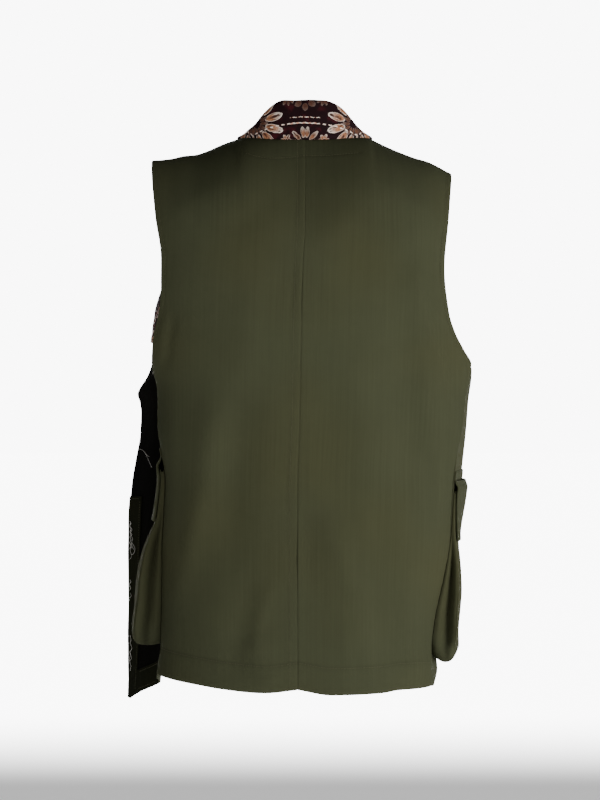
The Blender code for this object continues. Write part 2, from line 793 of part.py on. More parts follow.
def build_pouch(side, sheet):
    """A bellows pouch: a face that stands off the panel, and a pleated gusset on three sides."""
    base = CLOTH / 2.0 + LAY_GAP + EDGE_GAP
    mesh_rows = POUCH_ROWS + 1
    mesh_columns = POUCH_COLUMNS + 1
    face = {}
    for a in range(mesh_rows):
        for b in range(mesh_columns):
            row, place, z = pouch_place(side, sheet, b / POUCH_COLUMNS, a / POUCH_ROWS)
            depth = curve(POUCH_DEPTH[side], z)
            u = b / POUCH_COLUMNS
            swell = POUCH_SWELL * np.sin(np.pi * u) * ease(a / POUCH_ROWS * 1.6)
            point, facing = sheet.at(row, place, base + depth + swell)
            face[a, b] = (point, facing, row, place, base + depth)
    border = [(a, 0) for a in range(mesh_rows)]
    border += [(mesh_rows - 1, b) for b in range(1, mesh_columns)]
    border += [(a, mesh_columns - 1) for a in range(mesh_rows - 2, -1, -1)]
    points = {key: value[0] for key, value in face.items()}
    middle = face[mesh_rows // 2, mesh_columns // 2][0]
    inner = {key: -value[1] * CLOTH for key, value in face.items()}
    run = np.gradient(np.array([points[key] for key in border]), axis=0)
    strips = []
    for step in GUSSET_STEPS:
        strip = []
        for m, key in enumerate(border):
            _, facing, row, place, reach = face[key]
            here, _ = sheet.at(row, place, base + (reach - base) * step)
            inward = np.cross(facing, run[m])
            inward *= np.sign(inward @ (middle - here)) / np.linalg.norm(inward)
            grown = ease((reach - base - PLEAT_FROM) / PLEAT_GROWS_OVER)
            pleat = GUSSET_PLEAT * np.sin(np.pi * step) * grown
            strip.append((here + inward * pleat, inward * CLOTH))
            inner[key] = (inward - facing) * CLOTH
        strips.append(strip)
    return shell_from_pouch(f"pocket_pouch_{side}", points, inner, border, strips)


def shell_from_pouch(name, points, inner, border, strips):
    """A thin closed wall from a pouch's face and gusset points, each with its step to the inside."""
    places = {}
    outside = []
    inside = []

    def add(key, point, step):
        places[key] = len(outside)
        outside.append(point)
        inside.append(point + step)

    for key in sorted(points):
        add(key, points[key], inner[key])
    for k, strip in enumerate(strips):
        for m, (point, step) in enumerate(strip):
            add(("gusset", k, m), point, step)
    quads = []
    for a in range(POUCH_ROWS):
        for b in range(POUCH_COLUMNS):
            quads.append((places[a, b], places[a + 1, b], places[a + 1, b + 1], places[a, b + 1]))
    rings = [[places[key] for key in border]]
    rings += [[places["gusset", k, m] for m in range(len(border))] for k in range(len(strips))]
    for upper, lower in zip(rings[:-1], rings[1:]):
        for m in range(len(border) - 1):
            quads.append((upper[m + 1], upper[m], lower[m], lower[m + 1]))
    edge = [places[0, b] for b in range(POUCH_COLUMNS, 0, -1)]
    edge += [ring[0] for ring in rings]
    edge += rings[-1][1:]
    edge += [ring[-1] for ring in reversed(rings[1:-1])]
    mesh = bmesh.new()
    skins = [[mesh.verts.new(point) for point in skin] for skin in (outside, inside)]
    for skin in skins:
        for quad in quads:
            mesh.faces.new([skin[index] for index in quad])
    for k, index in enumerate(edge):
        after = edge[(k + 1) % len(edge)]
        mesh.faces.new((skins[0][index], skins[0][after], skins[1][after], skins[1][index]))
    return finish_object(name, mesh, OLIVE)


def build_flap(side, sheet):
    """The pocket's flap, from its seam on the panel down over the pouch, and the band above it."""
    grid = np.zeros((FLAP_STEPS + 1, FLAP_COLUMNS + 1, 3))
    normals = np.zeros_like(grid)
    for a in range(FLAP_STEPS + 1):
        down = a / FLAP_STEPS
        z = FLAP_TOP[side] - FLAP_LENGTH[side] * down
        depth = max(curve(POUCH_DEPTH[side], z) if z < POUCH_TOP[side] else 0.0, 0.0)
        over = ease((FLAP_TOP[side] - z) / (FLAP_TOP[side] - POUCH_TOP[side] + 0.004))
        reach = LAY_GAP + CLOTH / 2.0 + FLAP_CLOTH / 2.0
        shallowest = curve(POUCH_DEPTH[side], POUCH_TOP[side])
        reach += over * (max(depth, shallowest) + CLOTH / 2.0 + FLAP_CLEAR)
        for b in range(FLAP_COLUMNS + 1):
            u = b / FLAP_COLUMNS
            wide = POCKET_FRONT - POCKET_REAR + 2.0 * FLAP_OVERHANG
            place = (POCKET_REAR - FLAP_OVERHANG + wide * u) * SIDE_COLUMNS
            swell = FLAP_SWELL * np.sin(np.pi * u) * down
            row = sheet.row_at(place, z)
            grid[a, b], normals[a, b] = sheet.at(row, place, reach + swell)
    wall(f"pocket_flap_{side}", grid, normals, FLAP_CLOTH, OLIVE)
    foot = FLAP_TOP[side] + BAND_CLEAR
    top = foot + POCKET_BAND_HEIGHT

    def row_reader(z):
        return lambda place: sheet.row_at(place, z)

    wide = POCKET_FRONT * SIDE_COLUMNS - STRIP_INSET
    columns = [STRIP_INSET + wide * k / FLAP_COLUMNS for k in range(FLAP_COLUMNS + 1)]
    band_on(sheet, f"pocket_band_{side}", [row_reader(foot), row_reader(top)], columns, CLOTH, OLIVE)


def collar_front_section(sheet, row):
    """Points across the lapel at one row: tucked edge, roll, then out over the front."""
    last = sheet.grid.shape[1] - 1
    height = sheet.grid[row, last, 2]
    width = curve(LAPEL_WIDTH, height)
    off = CLOTH / 2.0 + COLLAR_GAP + COLLAR_CLOTH / 2.0
    edge, facing = sheet.at(row, last, 0.0)
    inner_place = sheet.column_from_edge(row, COLLAR_TUCK)
    inside, inside_facing = sheet.at(row, inner_place, -off)
    beyond = edge - sheet.at(row, sheet.column_from_edge(row, COLLAR_STAND), 0.0)[0]
    beyond /= np.linalg.norm(beyond)
    drawn = ease((height - TUCK_ENDS) / (COLLAR_LIFTS - TUCK_ENDS))
    lifted = ease((height - COLLAR_LIFTS) / -COLLAR_LIFTS * 1.2)
    hanging = [inside, edge - facing * off, edge + beyond * off]
    turned = [edge + beyond * off - facing * off * 0.9, edge + beyond * off * 1.05 - facing * off * 0.2,
              edge + beyond * off * 0.8 + facing * off * 0.6]
    standing = [edge + beyond * off + facing * (CLOTH / 2.0 + EDGE_GAP),
                edge + beyond * off + facing * COLLAR_STAND,
                edge + beyond * off * 0.4 + facing * (off + COLLAR_CLOTH)]
    points = []
    for low, middle, high in zip(hanging, turned, standing):
        points.append((low * (1.0 - drawn) + middle * drawn) * (1.0 - lifted) + high * lifted)
    points.append(edge + facing * (off + 0.0012 * lifted))
    for k in range(1, COLLAR_FALL_POINTS + 1):
        distance = width * k / COLLAR_FALL_POINTS
        point, _ = sheet.at(row, sheet.column_from_edge(row, distance), off)
        points.append(point)
    return points


def collar_back_section(x, sign):
    """Points across the collar at the back neck: stand, roll, then the outer fall."""
    y = neck_y(x)
    z = top_z("left", x)
    slope = np.array([x / NECK_HALF_WIDTH * 1.2, 1.0 - (x / NECK_HALF_WIDTH) ** 2, 0.0])
    slope /= np.linalg.norm(slope)
    seam = np.array([x, y, z])
    height = curve(COLLAR_ROLL, x) - z
    stand_off = CLOTH / 2.0 + COLLAR_EASE + COLLAR_CLOTH / 2.0
    spread = COLLAR_SPREAD * (x / NECK_HALF_WIDTH) ** 6
    foot = CLOTH / 2.0 + EDGE_GAP
    brow = height - COLLAR_BOW
    up = np.array([0.0, 0.0, 1.0])
    points = [seam - slope * stand_off + up * foot,
              seam - slope * stand_off + up * height * 0.75,
              seam + up * height,
              seam + slope * stand_off + up * brow]
    for k in range(1, COLLAR_FALL_POINTS + 1):
        share = k / COLLAR_FALL_POINTS
        bow = COLLAR_BOW * np.sin(np.pi * share)
        points.append(seam + slope * (stand_off + (COLLAR_FALL_OUT + spread) * share + bow)
                      + up * (brow * (1.0 - share) + (foot + spread * 0.25) * share))
    for point in points:
        point[0] *= sign
    return points


def build_collar(fronts):
    """The shawl collar: up one lapel, round the back neck and down the other lapel."""
    sections = []
    for row in range(LAPEL_FROM_ROW, ROWS):
        sections.append(collar_front_section(fronts["left"], row))
    angles = [np.pi / 2.0 * (1.0 - k / COLLAR_STATIONS) for k in range(1, COLLAR_STATIONS + 1)]
    places = [NECK_HALF_WIDTH * np.sin(angle) for angle in angles]
    sections += [collar_back_section(x, 1.0) for x in places]
    sections += [collar_back_section(x, -1.0) for x in reversed(places[:-1])]
    for row in range(ROWS - 1, LAPEL_FROM_ROW - 1, -1):
        sections.append(collar_front_section(fronts["right"], row))
    grid = np.array(sections)
    across = np.gradient(grid, axis=1)
    along = np.gradient(grid, axis=0)
    normals = np.cross(across, along)
    normals /= np.linalg.norm(normals, axis=2, keepdims=True)
    return wall("shawl_collar", grid, normals, COLLAR_CLOTH, BROCADE)


def build_panels(side, back, back_normals, front, front_normals):
    """The back half, the side front and the centre front of one side."""
    half = SEAM_GAP / 2.0
    body = inset(inset(back, "first_column", half), "last_column", half)
    shoulder = slice(NECK_COLUMNS, None)
    body[ROWS, shoulder, 1] += half
    wall(f"back_{side}", body, back_normals, CLOTH, OLIVE)
    hang = front.copy()
    hang[ROWS, :, 1] -= half
    parts = (("side_front", slice(0, SIDE_COLUMNS + 1), OLIVE, ("first_column", "last_column")),
             ("front", slice(SIDE_COLUMNS, None), BLACK, ("first_column",)))
    for name, columns, finish, seams in parts:
        grid = hang[:, columns]
        for seam in seams:
            grid = inset(grid, seam, half)
        wall(f"{name}_{side}", grid, front_normals[:, columns], CLOTH, finish)


def main():
    """Clear the scene and build every piece."""
    for item in list(bpy.data.objects):
        bpy.data.objects.remove(item, do_unlink=True)
    backs = {side: back_sheet(side) for side in SIGN}
    fronts = {side: front_sheet(side, backs[side]) for side in SIGN}
    back_normals = {side: sheet_normals(backs[side], -SIGN[side]) for side in SIGN}
    front_normals = {side: sheet_normals(fronts[side], -SIGN[side]) for side in SIGN}
    share_normals(back_normals["left"][:, 0], back_normals["right"][:, 0])
    sheets = {}
    for side in SIGN:
        below = slice(0, ROWS_BELOW + 1)
        share_normals(back_normals[side][below, -1], front_normals[side][below, 0])
        neck = range(NECK_COLUMNS, NECK_COLUMNS + SHOULDER_COLUMNS + 1)
        shoulder_normals(backs[side], back_normals[side], neck)
        shoulder_normals(fronts[side], front_normals[side], range(SIDE_COLUMNS + FRONT_COLUMNS + 1))
        sheets[side] = Sheet(fronts[side], front_normals[side])
        build_panels(side, backs[side], back_normals[side], fronts[side], front_normals[side])
        build_bands(side, sheets[side])
        build_pouch(side, sheets[side])
        build_flap(side, sheets[side])
    build_collar(sheets)


main()
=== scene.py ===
"""Looks of an open utility waistcoat with a brocade shawl collar, in its hollow worn form.

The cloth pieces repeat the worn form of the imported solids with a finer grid, and add what a closer
look shows: seams, turned and stitched edges, soft creases, bellows folds, sewing thread, loose white
threads and woven finishes. Metres, +Z up, the back of the garment at +Y, its left side at +X.
"""

import logging
from dataclasses import dataclass, field
from enum import Enum
from typing import NamedTuple, Sequence

import bpy
import numpy as np
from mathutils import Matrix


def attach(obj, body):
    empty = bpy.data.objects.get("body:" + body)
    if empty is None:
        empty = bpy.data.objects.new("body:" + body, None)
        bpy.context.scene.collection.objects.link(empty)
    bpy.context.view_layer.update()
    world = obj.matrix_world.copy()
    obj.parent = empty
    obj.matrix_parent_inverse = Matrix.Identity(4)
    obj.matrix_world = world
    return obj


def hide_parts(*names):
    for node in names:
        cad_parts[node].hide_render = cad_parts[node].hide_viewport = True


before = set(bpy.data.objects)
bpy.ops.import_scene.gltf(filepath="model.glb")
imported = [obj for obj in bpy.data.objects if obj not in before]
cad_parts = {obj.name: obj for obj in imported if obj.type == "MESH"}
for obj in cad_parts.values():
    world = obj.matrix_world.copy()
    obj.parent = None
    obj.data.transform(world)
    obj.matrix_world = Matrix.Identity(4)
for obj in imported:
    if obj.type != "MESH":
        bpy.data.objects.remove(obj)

LOG = logging.getLogger("waistcoat")
Array = np.ndarray


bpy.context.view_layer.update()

TURN = 2.0 * np.pi
MM = 0.001
CLOTH = 1.6 * MM
COLLAR_CLOTH = 2.2 * MM
FLAP_CLOTH = 2.6 * MM
LAY_GAP = 0.7 * MM
LAY_CLEAR = 0.25 * MM
EDGE_GAP = 0.6 * MM
COLLAR_GAP = 2.6 * MM

# The solids' rows and columns, by which places on a sheet are named
ROWS_BELOW = 14
ROWS_ABOVE = 14
NECK_COLUMNS = 6
SHOULDER_COLUMNS = 8
SIDE_COLUMNS = 9
FRONT_COLUMNS = 7
BACK_EDGE = NECK_COLUMNS + SHOULDER_COLUMNS
FRONT_EDGE = SIDE_COLUMNS + FRONT_COLUMNS

# Neck and the roundness of the back
NECK_HALF_WIDTH = 0.086
NECK_POWER = 2.3
NECK_FLATNESS = 0.62
NECK_DEPTH = 0.058
NECK_DROP = 0.006
SECTION_POWER = 2.4
ROLL_AT_NECK = 0.15
ROLL_AT_SHOULDER = 0.105
ROLL_POWER_NECK = 1.45
ROLL_POWER_SHOULDER = 2.0
GATHER_FROM = 0.9
COLUMN_CROWDING = 0.86
UNDERARM_CENTRE = -0.298


class Side(Enum):
    """The wearer's left or right."""

    LEFT = "left"
    RIGHT = "right"

    @property
    def sign(self) -> float:
        """+1 on the wearer's left, -1 on the right."""
        return 1.0 if self is Side.LEFT else -1.0


class Hold(Enum):
    """How a cloth piece is held."""

    HUNG = "hung"
    FOLDED = "folded"
    LAID = "laid"


class BackRow(NamedTuple):
    """One height of a back half: its outer edge and the half width of the figure there."""

    z: float
    edge: float
    figure: float


class ArmholeRow(NamedTuple):
    """One place on the front edge of an armhole."""

    z: float
    x: float
    y: float


class FrontRow(NamedTuple):
    """One row of a front, named by its z at the side: the panel seam and the front edge."""

    side_z: float
    seam_x: float
    seam_y: float
    seam_z: float
    edge_x: float
    edge_y: float
    edge_z: float


class Point(NamedTuple):
    """A value at a place."""

    at: float
    value: float


class Crease(NamedTuple):
    """A soft ridge (height above 0) or trough from one place to another, in metres."""

    x0: float
    z0: float
    x1: float
    z1: float
    width: float
    height: float


def table(kind: type, *rows: tuple) -> tuple:
    """Rows with the named columns of their kind."""
    return tuple(kind(*row) for row in rows)


def in_mm(kind: type, *rows: tuple) -> tuple:
    """The same for rows that are written in millimetres."""
    return table(kind, *(tuple(value * MM for value in row) for row in rows))


# Outline of the back's two halves, hem to shoulder tip
BACK_ROWS = {
    Side.LEFT: in_mm(
        BackRow, (-697, 191.5, 194.5), (-660, 187, 189), (-600, 186, 188.5), (-533, 185, 187.5),
        (-450, 181.2, 185), (-410, 186.8, 190), (-385, 190.5, 193.5), (-326, 192, 195), (-299, 198.5, 200),
        (-264, 195.2, 208), (-228, 186.8, 212), (-198, 183.5, 215), (-159, 184, 218), (-108, 191, 223),
        (-54, 197.5, 228), (-28, 200, 230)),
    Side.RIGHT: in_mm(
        BackRow, (-711, 160, 169), (-684, 161, 177), (-660, 162, 173), (-628, 167, 174.5),
        (-597, 173.5, 180), (-566, 180, 187), (-516, 188, 196.5), (-450, 191, 208), (-394, 198.5, 211),
        (-342, 207, 213.5), (-298, 216, 218.5), (-277, 203.5, 219), (-256, 192, 218), (-230, 183.6, 217),
        (-175, 177.3, 217), (-107, 183.6, 219), (-45, 191.3, 223)),
}

# How far the centre back stands behind the origin
BACK_DEPTH = in_mm(
    Point, (-720, 118), (-600, 112), (-450, 104), (-340, 107), (-230, 115), (-140, 116), (0, 108))

# The centre-back seam leans towards the wearer's left
CENTRE_SEAM = in_mm(
    Point, (-720, 9.5), (-449, 9.5), (-373, 7), (-241, 4.5), (-160, 2.1), (-120, 0), (10, 0))

# Hem height by the distance from the centre back
HEM = {
    Side.LEFT: in_mm(
        Point, (0, -705.5), (45, -710), (110, -706), (137, -703), (200, -697)),
    Side.RIGHT: in_mm(
        Point, (0, -705.5), (50, -712.6), (120, -711.8), (145, -709.5), (200, -711)),
}

# Shoulder line from the neck point outwards
SHOULDER = {
    Side.LEFT: in_mm(
        Point, (86, 0), (109, -7.8), (127, -15.4), (144, -20.7), (157, -21.8), (176, -25.8), (200, -28)),
    Side.RIGHT: in_mm(
        Point, (86, 0), (107, -10.4), (125, -18.3), (144, -25.3), (160, -29.5), (181, -39.4),
        (191.3, -45.3)),
}


# Fronts, hem to shoulder. The left one is swung open at its panel seam, the right one hangs.
FRONT_ROWS = {
    Side.LEFT: in_mm(
        FrontRow, (-697, 203.6, -155, -736, 249.4, -220, -766.7),
        (-600, 194.5, -156, -626, 249.4, -220, -650), (-500, 190, -157, -513, 249.4, -220, -524),
        (-455, 188, -157, -463, 246, -220, -465), (-420, 188, -157, -426, 240.4, -220, -429),
        (-380, 188.5, -156, -386, 233.2, -220, -390), (-340, 189, -154, -347, 232.5, -220, -360),
        (-318, 189, -152, -327, 234, -220, -345.5), (-299, 189, -150, -310, 237.4, -220, -333),
        (-284, 187.5, -147, -293, 223.5, -206, -311), (-264, 184.5, -140, -270, 212.5, -188, -282),
        (-200, 179, -124, -200, 201, -168, -205), (-150, 166, -120, -148, 172, -160, -150),
        (-100, 151, -101, -98, 133, -135, -97), (-60, 144.5, -67, -55, 103, -82, -48),
        (-38, 143.2, -33, -31, 90, -38, -13), (-28, 143, 0, -20.5, 86, 0, 0)),
    Side.RIGHT: in_mm(
        FrontRow, (-711, 150, -126, -734, 76, -160, -748), (-600, 156, -129, -621, 80, -163, -634),
        (-500, 165, -132, -513, 84, -166, -521), (-420, 174, -134, -427, 88, -168, -435),
        (-340, 178, -134, -347, 92, -168, -362), (-298, 176, -133, -310, 93, -166, -333),
        (-256, 164, -128, -264, 96, -160, -275), (-200, 148, -118, -200, 99, -146, -205),
        (-150, 140, -107, -150, 99, -127, -150), (-100, 138, -87, -100, 97, -100, -97),
        (-70, 138, -62, -60, 93, -68, -48), (-53, 138.5, -31, -34, 88.5, -33, -13),
        (-45, 138.6, 0, -23.5, 86, 0, 0)),
}

# Front edge of each armhole, from the underarm up to the shoulder tip
ARMHOLE_ROWS = {
    Side.LEFT: in_mm(
        ArmholeRow, (-291, 197.5, -4), (-278, 195.5, -28), (-250, 189.5, -53), (-200, 176.5, -72),
        (-150, 172, -78), (-100, 178, -68), (-60, 188.5, -44), (-38, 196.5, -20), (-28, 200, 0)),
    Side.RIGHT: in_mm(
        ArmholeRow, (-290, 212.5, -8), (-275, 206, -32), (-245, 193, -56), (-200, 175.5, -72),
        (-150, 168, -76), (-100, 172, -64), (-70, 181, -42), (-53, 188.5, -18), (-45, 191.3, 0)),
}

# Outward swell of the side front between its seams, by height, and of the centre front
SIDE_SWELL = {
    Side.LEFT: in_mm(
        Point, (-697, 0), (-450, 1), (-385, 4), (-299, 6), (-100, 4), (-28, 0)),
    Side.RIGHT: in_mm(
        Point, (-711, 14), (-684, 17.5), (-660, 12.5), (-628, 7.5), (-566, 11.5), (-516, 16.7), (-450, 25),
        (-394, 24.5), (-298, 22.5), (-200, 10), (-100, 5), (-45, 0)),
}
FRONT_SWELL = {Side.LEFT: 0.004, Side.RIGHT: 0.007}


# The largest soft folds of the back
FOLDS = {
    Side.LEFT: in_mm(
        Crease, (112, -345, 170, -580, 30, 5), (60, -640, 38, -705, 24, 4),
        (182, -245, 186, -330, 16, 2.5), (78, -330, 100, -560, 28, -4)),
    Side.RIGHT: in_mm(
        Crease, (131, -170, 160, -300, 22, 4.5), (160, -300, 184, -430, 24, 6.5),
        (115, -260, 145, -470, 28, -6), (30, -500, 75, -690, 30, 4.5), (95, -560, 115, -705, 26, -3.5)),
}


# Lapel width by the height of the front edge, and the collar's roll line above the neck seam
LAPEL_WIDTH = in_mm(
    Point, (-264, 10), (-250, 24), (-225, 40), (-180, 54), (-120, 54), (-70, 32), (-35, 14), (-12, 6),
    (-3, 5))
COLLAR_ROLL = in_mm(
    Point, (0, 42.5), (27, 42), (37, 39), (47, 32), (58, 21.5), (70, 10.5), (78, 7), (86, 5.8))
COLLAR_TUCK = 0.006
COLLAR_STAND = 0.004
COLLAR_EASE = 0.0016
COLLAR_INSET = 0.005
COLLAR_INSET_FROM = -0.050
# How far the left lapel curls off the front, by height: place, half width and reach
LAPEL_CURLS = ((-0.250, 0.013, 8.0 * MM), (-0.222, 0.011, 4.5 * MM))
COLLAR_FALL_OUT = 0.0025
COLLAR_BOW = 0.002
LAPEL_FROM_ROW = ROWS_BELOW + 4
TUCK_ENDS = -0.080
COLLAR_LIFTS = -0.020
COLLAR_LAP = 2.6 * MM
COLLAR_STATIONS = 9
COLLAR_FALL_POINTS = 7


# Pocket: heights on each side and how far its pouch stands off at each height
POCKET_FRONT = 0.90
POCKET_REAR = 0.012
POCKET_BAND_HEIGHT = 0.011
POCKET_SLOPE = 0.3
FLAP_LENGTH = {Side.LEFT: 0.082, Side.RIGHT: 0.076}
FLAP_TOP = {Side.LEFT: -0.418, Side.RIGHT: -0.447}
POUCH_TOP = {Side.LEFT: -0.432, Side.RIGHT: -0.460}
POUCH_FOOT = {Side.LEFT: -0.662, Side.RIGHT: -0.682}
POUCH_DEPTH = {
    Side.LEFT: in_mm(
        Point, (-662, 31), (-642, 34), (-605, 31), (-575, 28.5), (-547, 23.5), (-522, 16.5), (-500, 8.5),
        (-432, 4)),
    Side.RIGHT: in_mm(
        Point, (-682, 27), (-640, 29), (-597, 24), (-566, 17), (-516, 7), (-460, 4)),
}
POUCH_SWELL = 0.0045
FLAP_SWELL = 0.0030
POUCH_CORNER = 0.16
FLAP_CLEAR = 0.0018
FLAP_OVERHANG = 0.008
BAND_CLEAR = 0.0015

# Bands on the centre front
HEM_BAND_HEIGHT = 0.031
EDGE_STRIP_WIDTH = 0.030
EDGE_STRIP_TOP = -0.480
BAND_INSET = 0.05
STRIP_INSET = 0.03

UNDERARM_Z = {Side.LEFT: -0.299, Side.RIGHT: -0.298}

# Finer steps of the scene's cloth between two of the solids' columns, and its rows
COLUMN_STEPS = 5
SEAM_STEPS = (-0.15, -0.09, -0.04, 0.04, 0.09, 0.15)
SHARES_BELOW = 110
SHARES_ABOVE = 96


def ease(value: Array | float) -> Array:
    """Smooth step from 0 to 1."""
    t = np.clip(value, 0.0, 1.0)
    return t * t * (3.0 - 2.0 * t)


def bell(value: Array | float) -> Array:
    """A soft bump: 1 at 0, fading to nothing by about 2 either side."""
    return np.exp(-np.square(value))


def unit(vectors: Array) -> Array:
    """Vectors of length 1 in the same directions."""
    return vectors / np.maximum(np.linalg.norm(vectors, axis=-1, keepdims=True), 1e-12)


class Profile:
    """A smooth curve through a short table that never swings past its rows."""

    def __init__(self, rows: Sequence[tuple[float, float]]) -> None:
        """Args:
            rows: places in rising order, each with its value.
        """
        self.places, self.values = (np.array(part, float) for part in zip(*rows))
        self.step = np.diff(self.places)
        slope = np.diff(self.values) / self.step
        low, high = slope[:-1], slope[1:]
        same = low * high > 0.0
        w0 = 2.0 * self.step[1:] + self.step[:-1]
        w1 = self.step[1:] + 2.0 * self.step[:-1]
        inner = np.zeros_like(low)
        inner[same] = ((w0 + w1)[same] / (w0[same] / low[same] + w1[same] / high[same]))
        self.tangent = np.concatenate(([slope[0]], inner, [slope[-1]]))

    def __call__(self, at: Array | float) -> Array:
        """The curve's value at one place or many."""
        x = np.clip(at, self.places[0], self.places[-1])
        i = np.clip(np.searchsorted(self.places, x) - 1, 0, len(self.step) - 1)
        step = self.step[i]
        t = (x - self.places[i]) / step
        start = (1.0 + 2.0 * t) * (1.0 - t) ** 2 * self.values[i]
        end = t * t * (3.0 - 2.0 * t) * self.values[i + 1]
        bend = t * (1.0 - t) ** 2 * self.tangent[i] + t * t * (t - 1.0) * self.tangent[i + 1]
        return start + end + bend * step


def named_column(rows: Sequence[NamedTuple], key: str, name: str) -> Profile:
    """One named column of a table, as a curve over its key column."""
    return Profile([(getattr(row, key), getattr(row, name)) for row in rows])


def row_share(row: Array | float) -> Array:
    """Where one of the solids' rows lies: 0 at the hem, 1 at the underarm, 2 at the shoulder."""
    low = np.asarray(row, float) / ROWS_BELOW
    high = 1.5 - 0.5 * np.cos(np.pi * (np.asarray(row, float) - ROWS_BELOW) / ROWS_ABOVE)
    return np.where(low <= 1.0, low, high)


def between(share: Array, low: Array, middle: Array, high: Array) -> Array:
    """Heights at row shares, from the heights at hem, underarm and shoulder."""
    return np.where(share <= 1.0, low + (middle - low) * share, middle + (high - middle) * (share - 1.0))


def neck_y(x: Array | float) -> Array:
    """How far behind the neck points the back neckline lies."""
    reach = np.minimum(np.abs(x) / NECK_HALF_WIDTH, 1.0)
    return NECK_DEPTH * (1.0 - reach ** NECK_POWER) ** NECK_FLATNESS


def crease_height(creases: Sequence[Crease], x: Array, z: Array) -> Array:
    """Sum of soft creases at places on a sheet."""
    total = np.zeros(np.broadcast(x, z).shape)
    for crease in creases:
        run_x, run_z = crease.x1 - crease.x0, crease.z1 - crease.z0
        length = np.hypot(run_x, run_z)
        here_x, here_z = x - crease.x0, z - crease.z0
        along = (here_x * run_x + here_z * run_z) / length ** 2
        across = (here_x * run_z - here_z * run_x) / length
        ends = ease((along + 0.15) / 0.4) * ease((1.15 - along) / 0.4)
        total = total + crease.height * ends * bell(across / crease.width)
    return total


def drift(x: Array, z: Array, scale: float, seed: int) -> Array:
    """Slow uneven waves between about -1 and 1, the same in every run.

    Args:
        x: places across, in metres.
        z: places along, in metres.
        scale: the size of the waves, in metres.
        seed: picks one pattern of waves.
    """
    rng = np.random.default_rng(seed)
    total = np.zeros(np.broadcast(x, z).shape)
    for angle, phase, stretch in rng.uniform((0.0, 0.0, 0.7), (np.pi, 2 * np.pi, 1.6), (7, 3)):
        run = np.cos(angle) * x + np.sin(angle) * z
        total = total + np.sin(run * 2 * np.pi / (scale * stretch) + phase)
    return total / 3.0


def run_lengths(points: Array, axis: int = 0) -> Array:
    """Distance of every point of a line or grid from the first one, along one axis.

    Args:
        points: a line, or rows by columns.
        axis: 0 along a line or down the rows, 1 across the columns.

    Returns:
        The distances, one for each point.
    """
    steps = np.linalg.norm(np.diff(points, axis=axis), axis=-1)
    start = [(1, 0) if k == axis else (0, 0) for k in range(steps.ndim)]
    return np.pad(np.cumsum(steps, axis=axis), start)


class ClothSheet:
    """A sheet of points with outward normals, read at any share and column place."""

    def __init__(self, points: Array, shares: Array, columns: Array, outward: float,
                 normals: Array | None = None) -> None:
        """Args:
            points: rows by columns of places, hem to shoulder and centre or side outwards.
            shares: the row share of each row.
            columns: the solids' column place of each column.
            outward: +1 or -1, which turns the normals out of the body.
            normals: the outward normals, worked out from the points if left out.
        """
        self.points, self.shares, self.columns, self.outward = points, shares, columns, outward
        if normals is None:
            normals = unit(np.cross(np.gradient(points, axis=1), np.gradient(points, axis=0))) * outward
        self.normals = normals

    def lifted(self, lift: Array) -> "ClothSheet":
        """The sheet moved out by a height at each point, with the same normals."""
        points = self.points + self.normals * lift[..., None]
        return ClothSheet(points, self.shares, self.columns, self.outward, self.normals)

    def part(self, columns: slice) -> "ClothSheet":
        """Some columns of the sheet."""
        return ClothSheet(self.points[:, columns], self.shares, self.columns[columns], self.outward,
                          self.normals[:, columns])

    def read(self, share: Array | float, column: Array | float) -> tuple[Array, Array]:
        """Points and normals at places between the rows and columns."""
        row = np.interp(share, self.shares, np.arange(len(self.shares)))
        place = np.interp(column, self.columns, np.arange(len(self.columns)))
        row, place = np.broadcast_arrays(row, place)
        i = np.clip(np.floor(row).astype(int), 0, len(self.shares) - 2)
        j = np.clip(np.floor(place).astype(int), 0, len(self.columns) - 2)
        s, t = (row - i)[..., None], (place - j)[..., None]

        def blend(grid: Array) -> Array:
            """A value between the four points round each place."""
            low = grid[i, j] * (1 - t) + grid[i, j + 1] * t
            high = grid[i + 1, j] * (1 - t) + grid[i + 1, j + 1] * t
            return low * (1 - s) + high * s

        return blend(self.points), unit(blend(self.normals))

    def place(self, share: Array | float, column: Array | float, off: Array | float) -> Array:
        """Points at places, moved out by a distance."""
        points, normals = self.read(share, column)
        return points + normals * np.asarray(off)[..., None]

    def share_at(self, column: float, z: float) -> float:
        """The row share where a column place passes a height, below the underarm."""
        return float(np.interp(z, self.read(self.shares, column)[0][:, 2], self.shares))

    def shares_at(self, columns: Array, heights: Array) -> Array:
        """The row shares of a grid of places, by column place and height."""
        columns, heights = np.broadcast_arrays(columns, heights)
        return np.array([[self.share_at(c, z) for c, z in zip(*row)] for row in zip(columns, heights)])

    def column_from_edge(self, share: float, distance: Array | float) -> Array:
        """The column place at a distance from the last column along a row."""
        lengths = run_lengths(self.read(share, self.columns)[0][::-1])
        return np.interp(distance, lengths, self.columns[::-1])


def fine_shares() -> Array:
    """Row shares of the scene's cloth, even below the underarm and closer round the armhole."""
    low = np.linspace(0.0, 1.0, SHARES_BELOW + 1)
    s = np.linspace(0.0, 1.0, SHARES_ABOVE + 1)[1:]
    return np.concatenate((low, 1.0 + 0.45 * s + 0.55 * (0.5 - 0.5 * np.cos(np.pi * s))))


def fine_columns(*stops: int) -> Array:
    """Column places of the scene's cloth from the first stop to the last, closer beside every stop."""
    first, last = stops[0], stops[-1]
    even = np.linspace(first, last, (last - first) * COLUMN_STEPS + 1)
    beside = [stop + step for stop in stops for step in SEAM_STEPS if first < stop + step < last]
    return np.unique(np.concatenate((even, beside)).round(6))


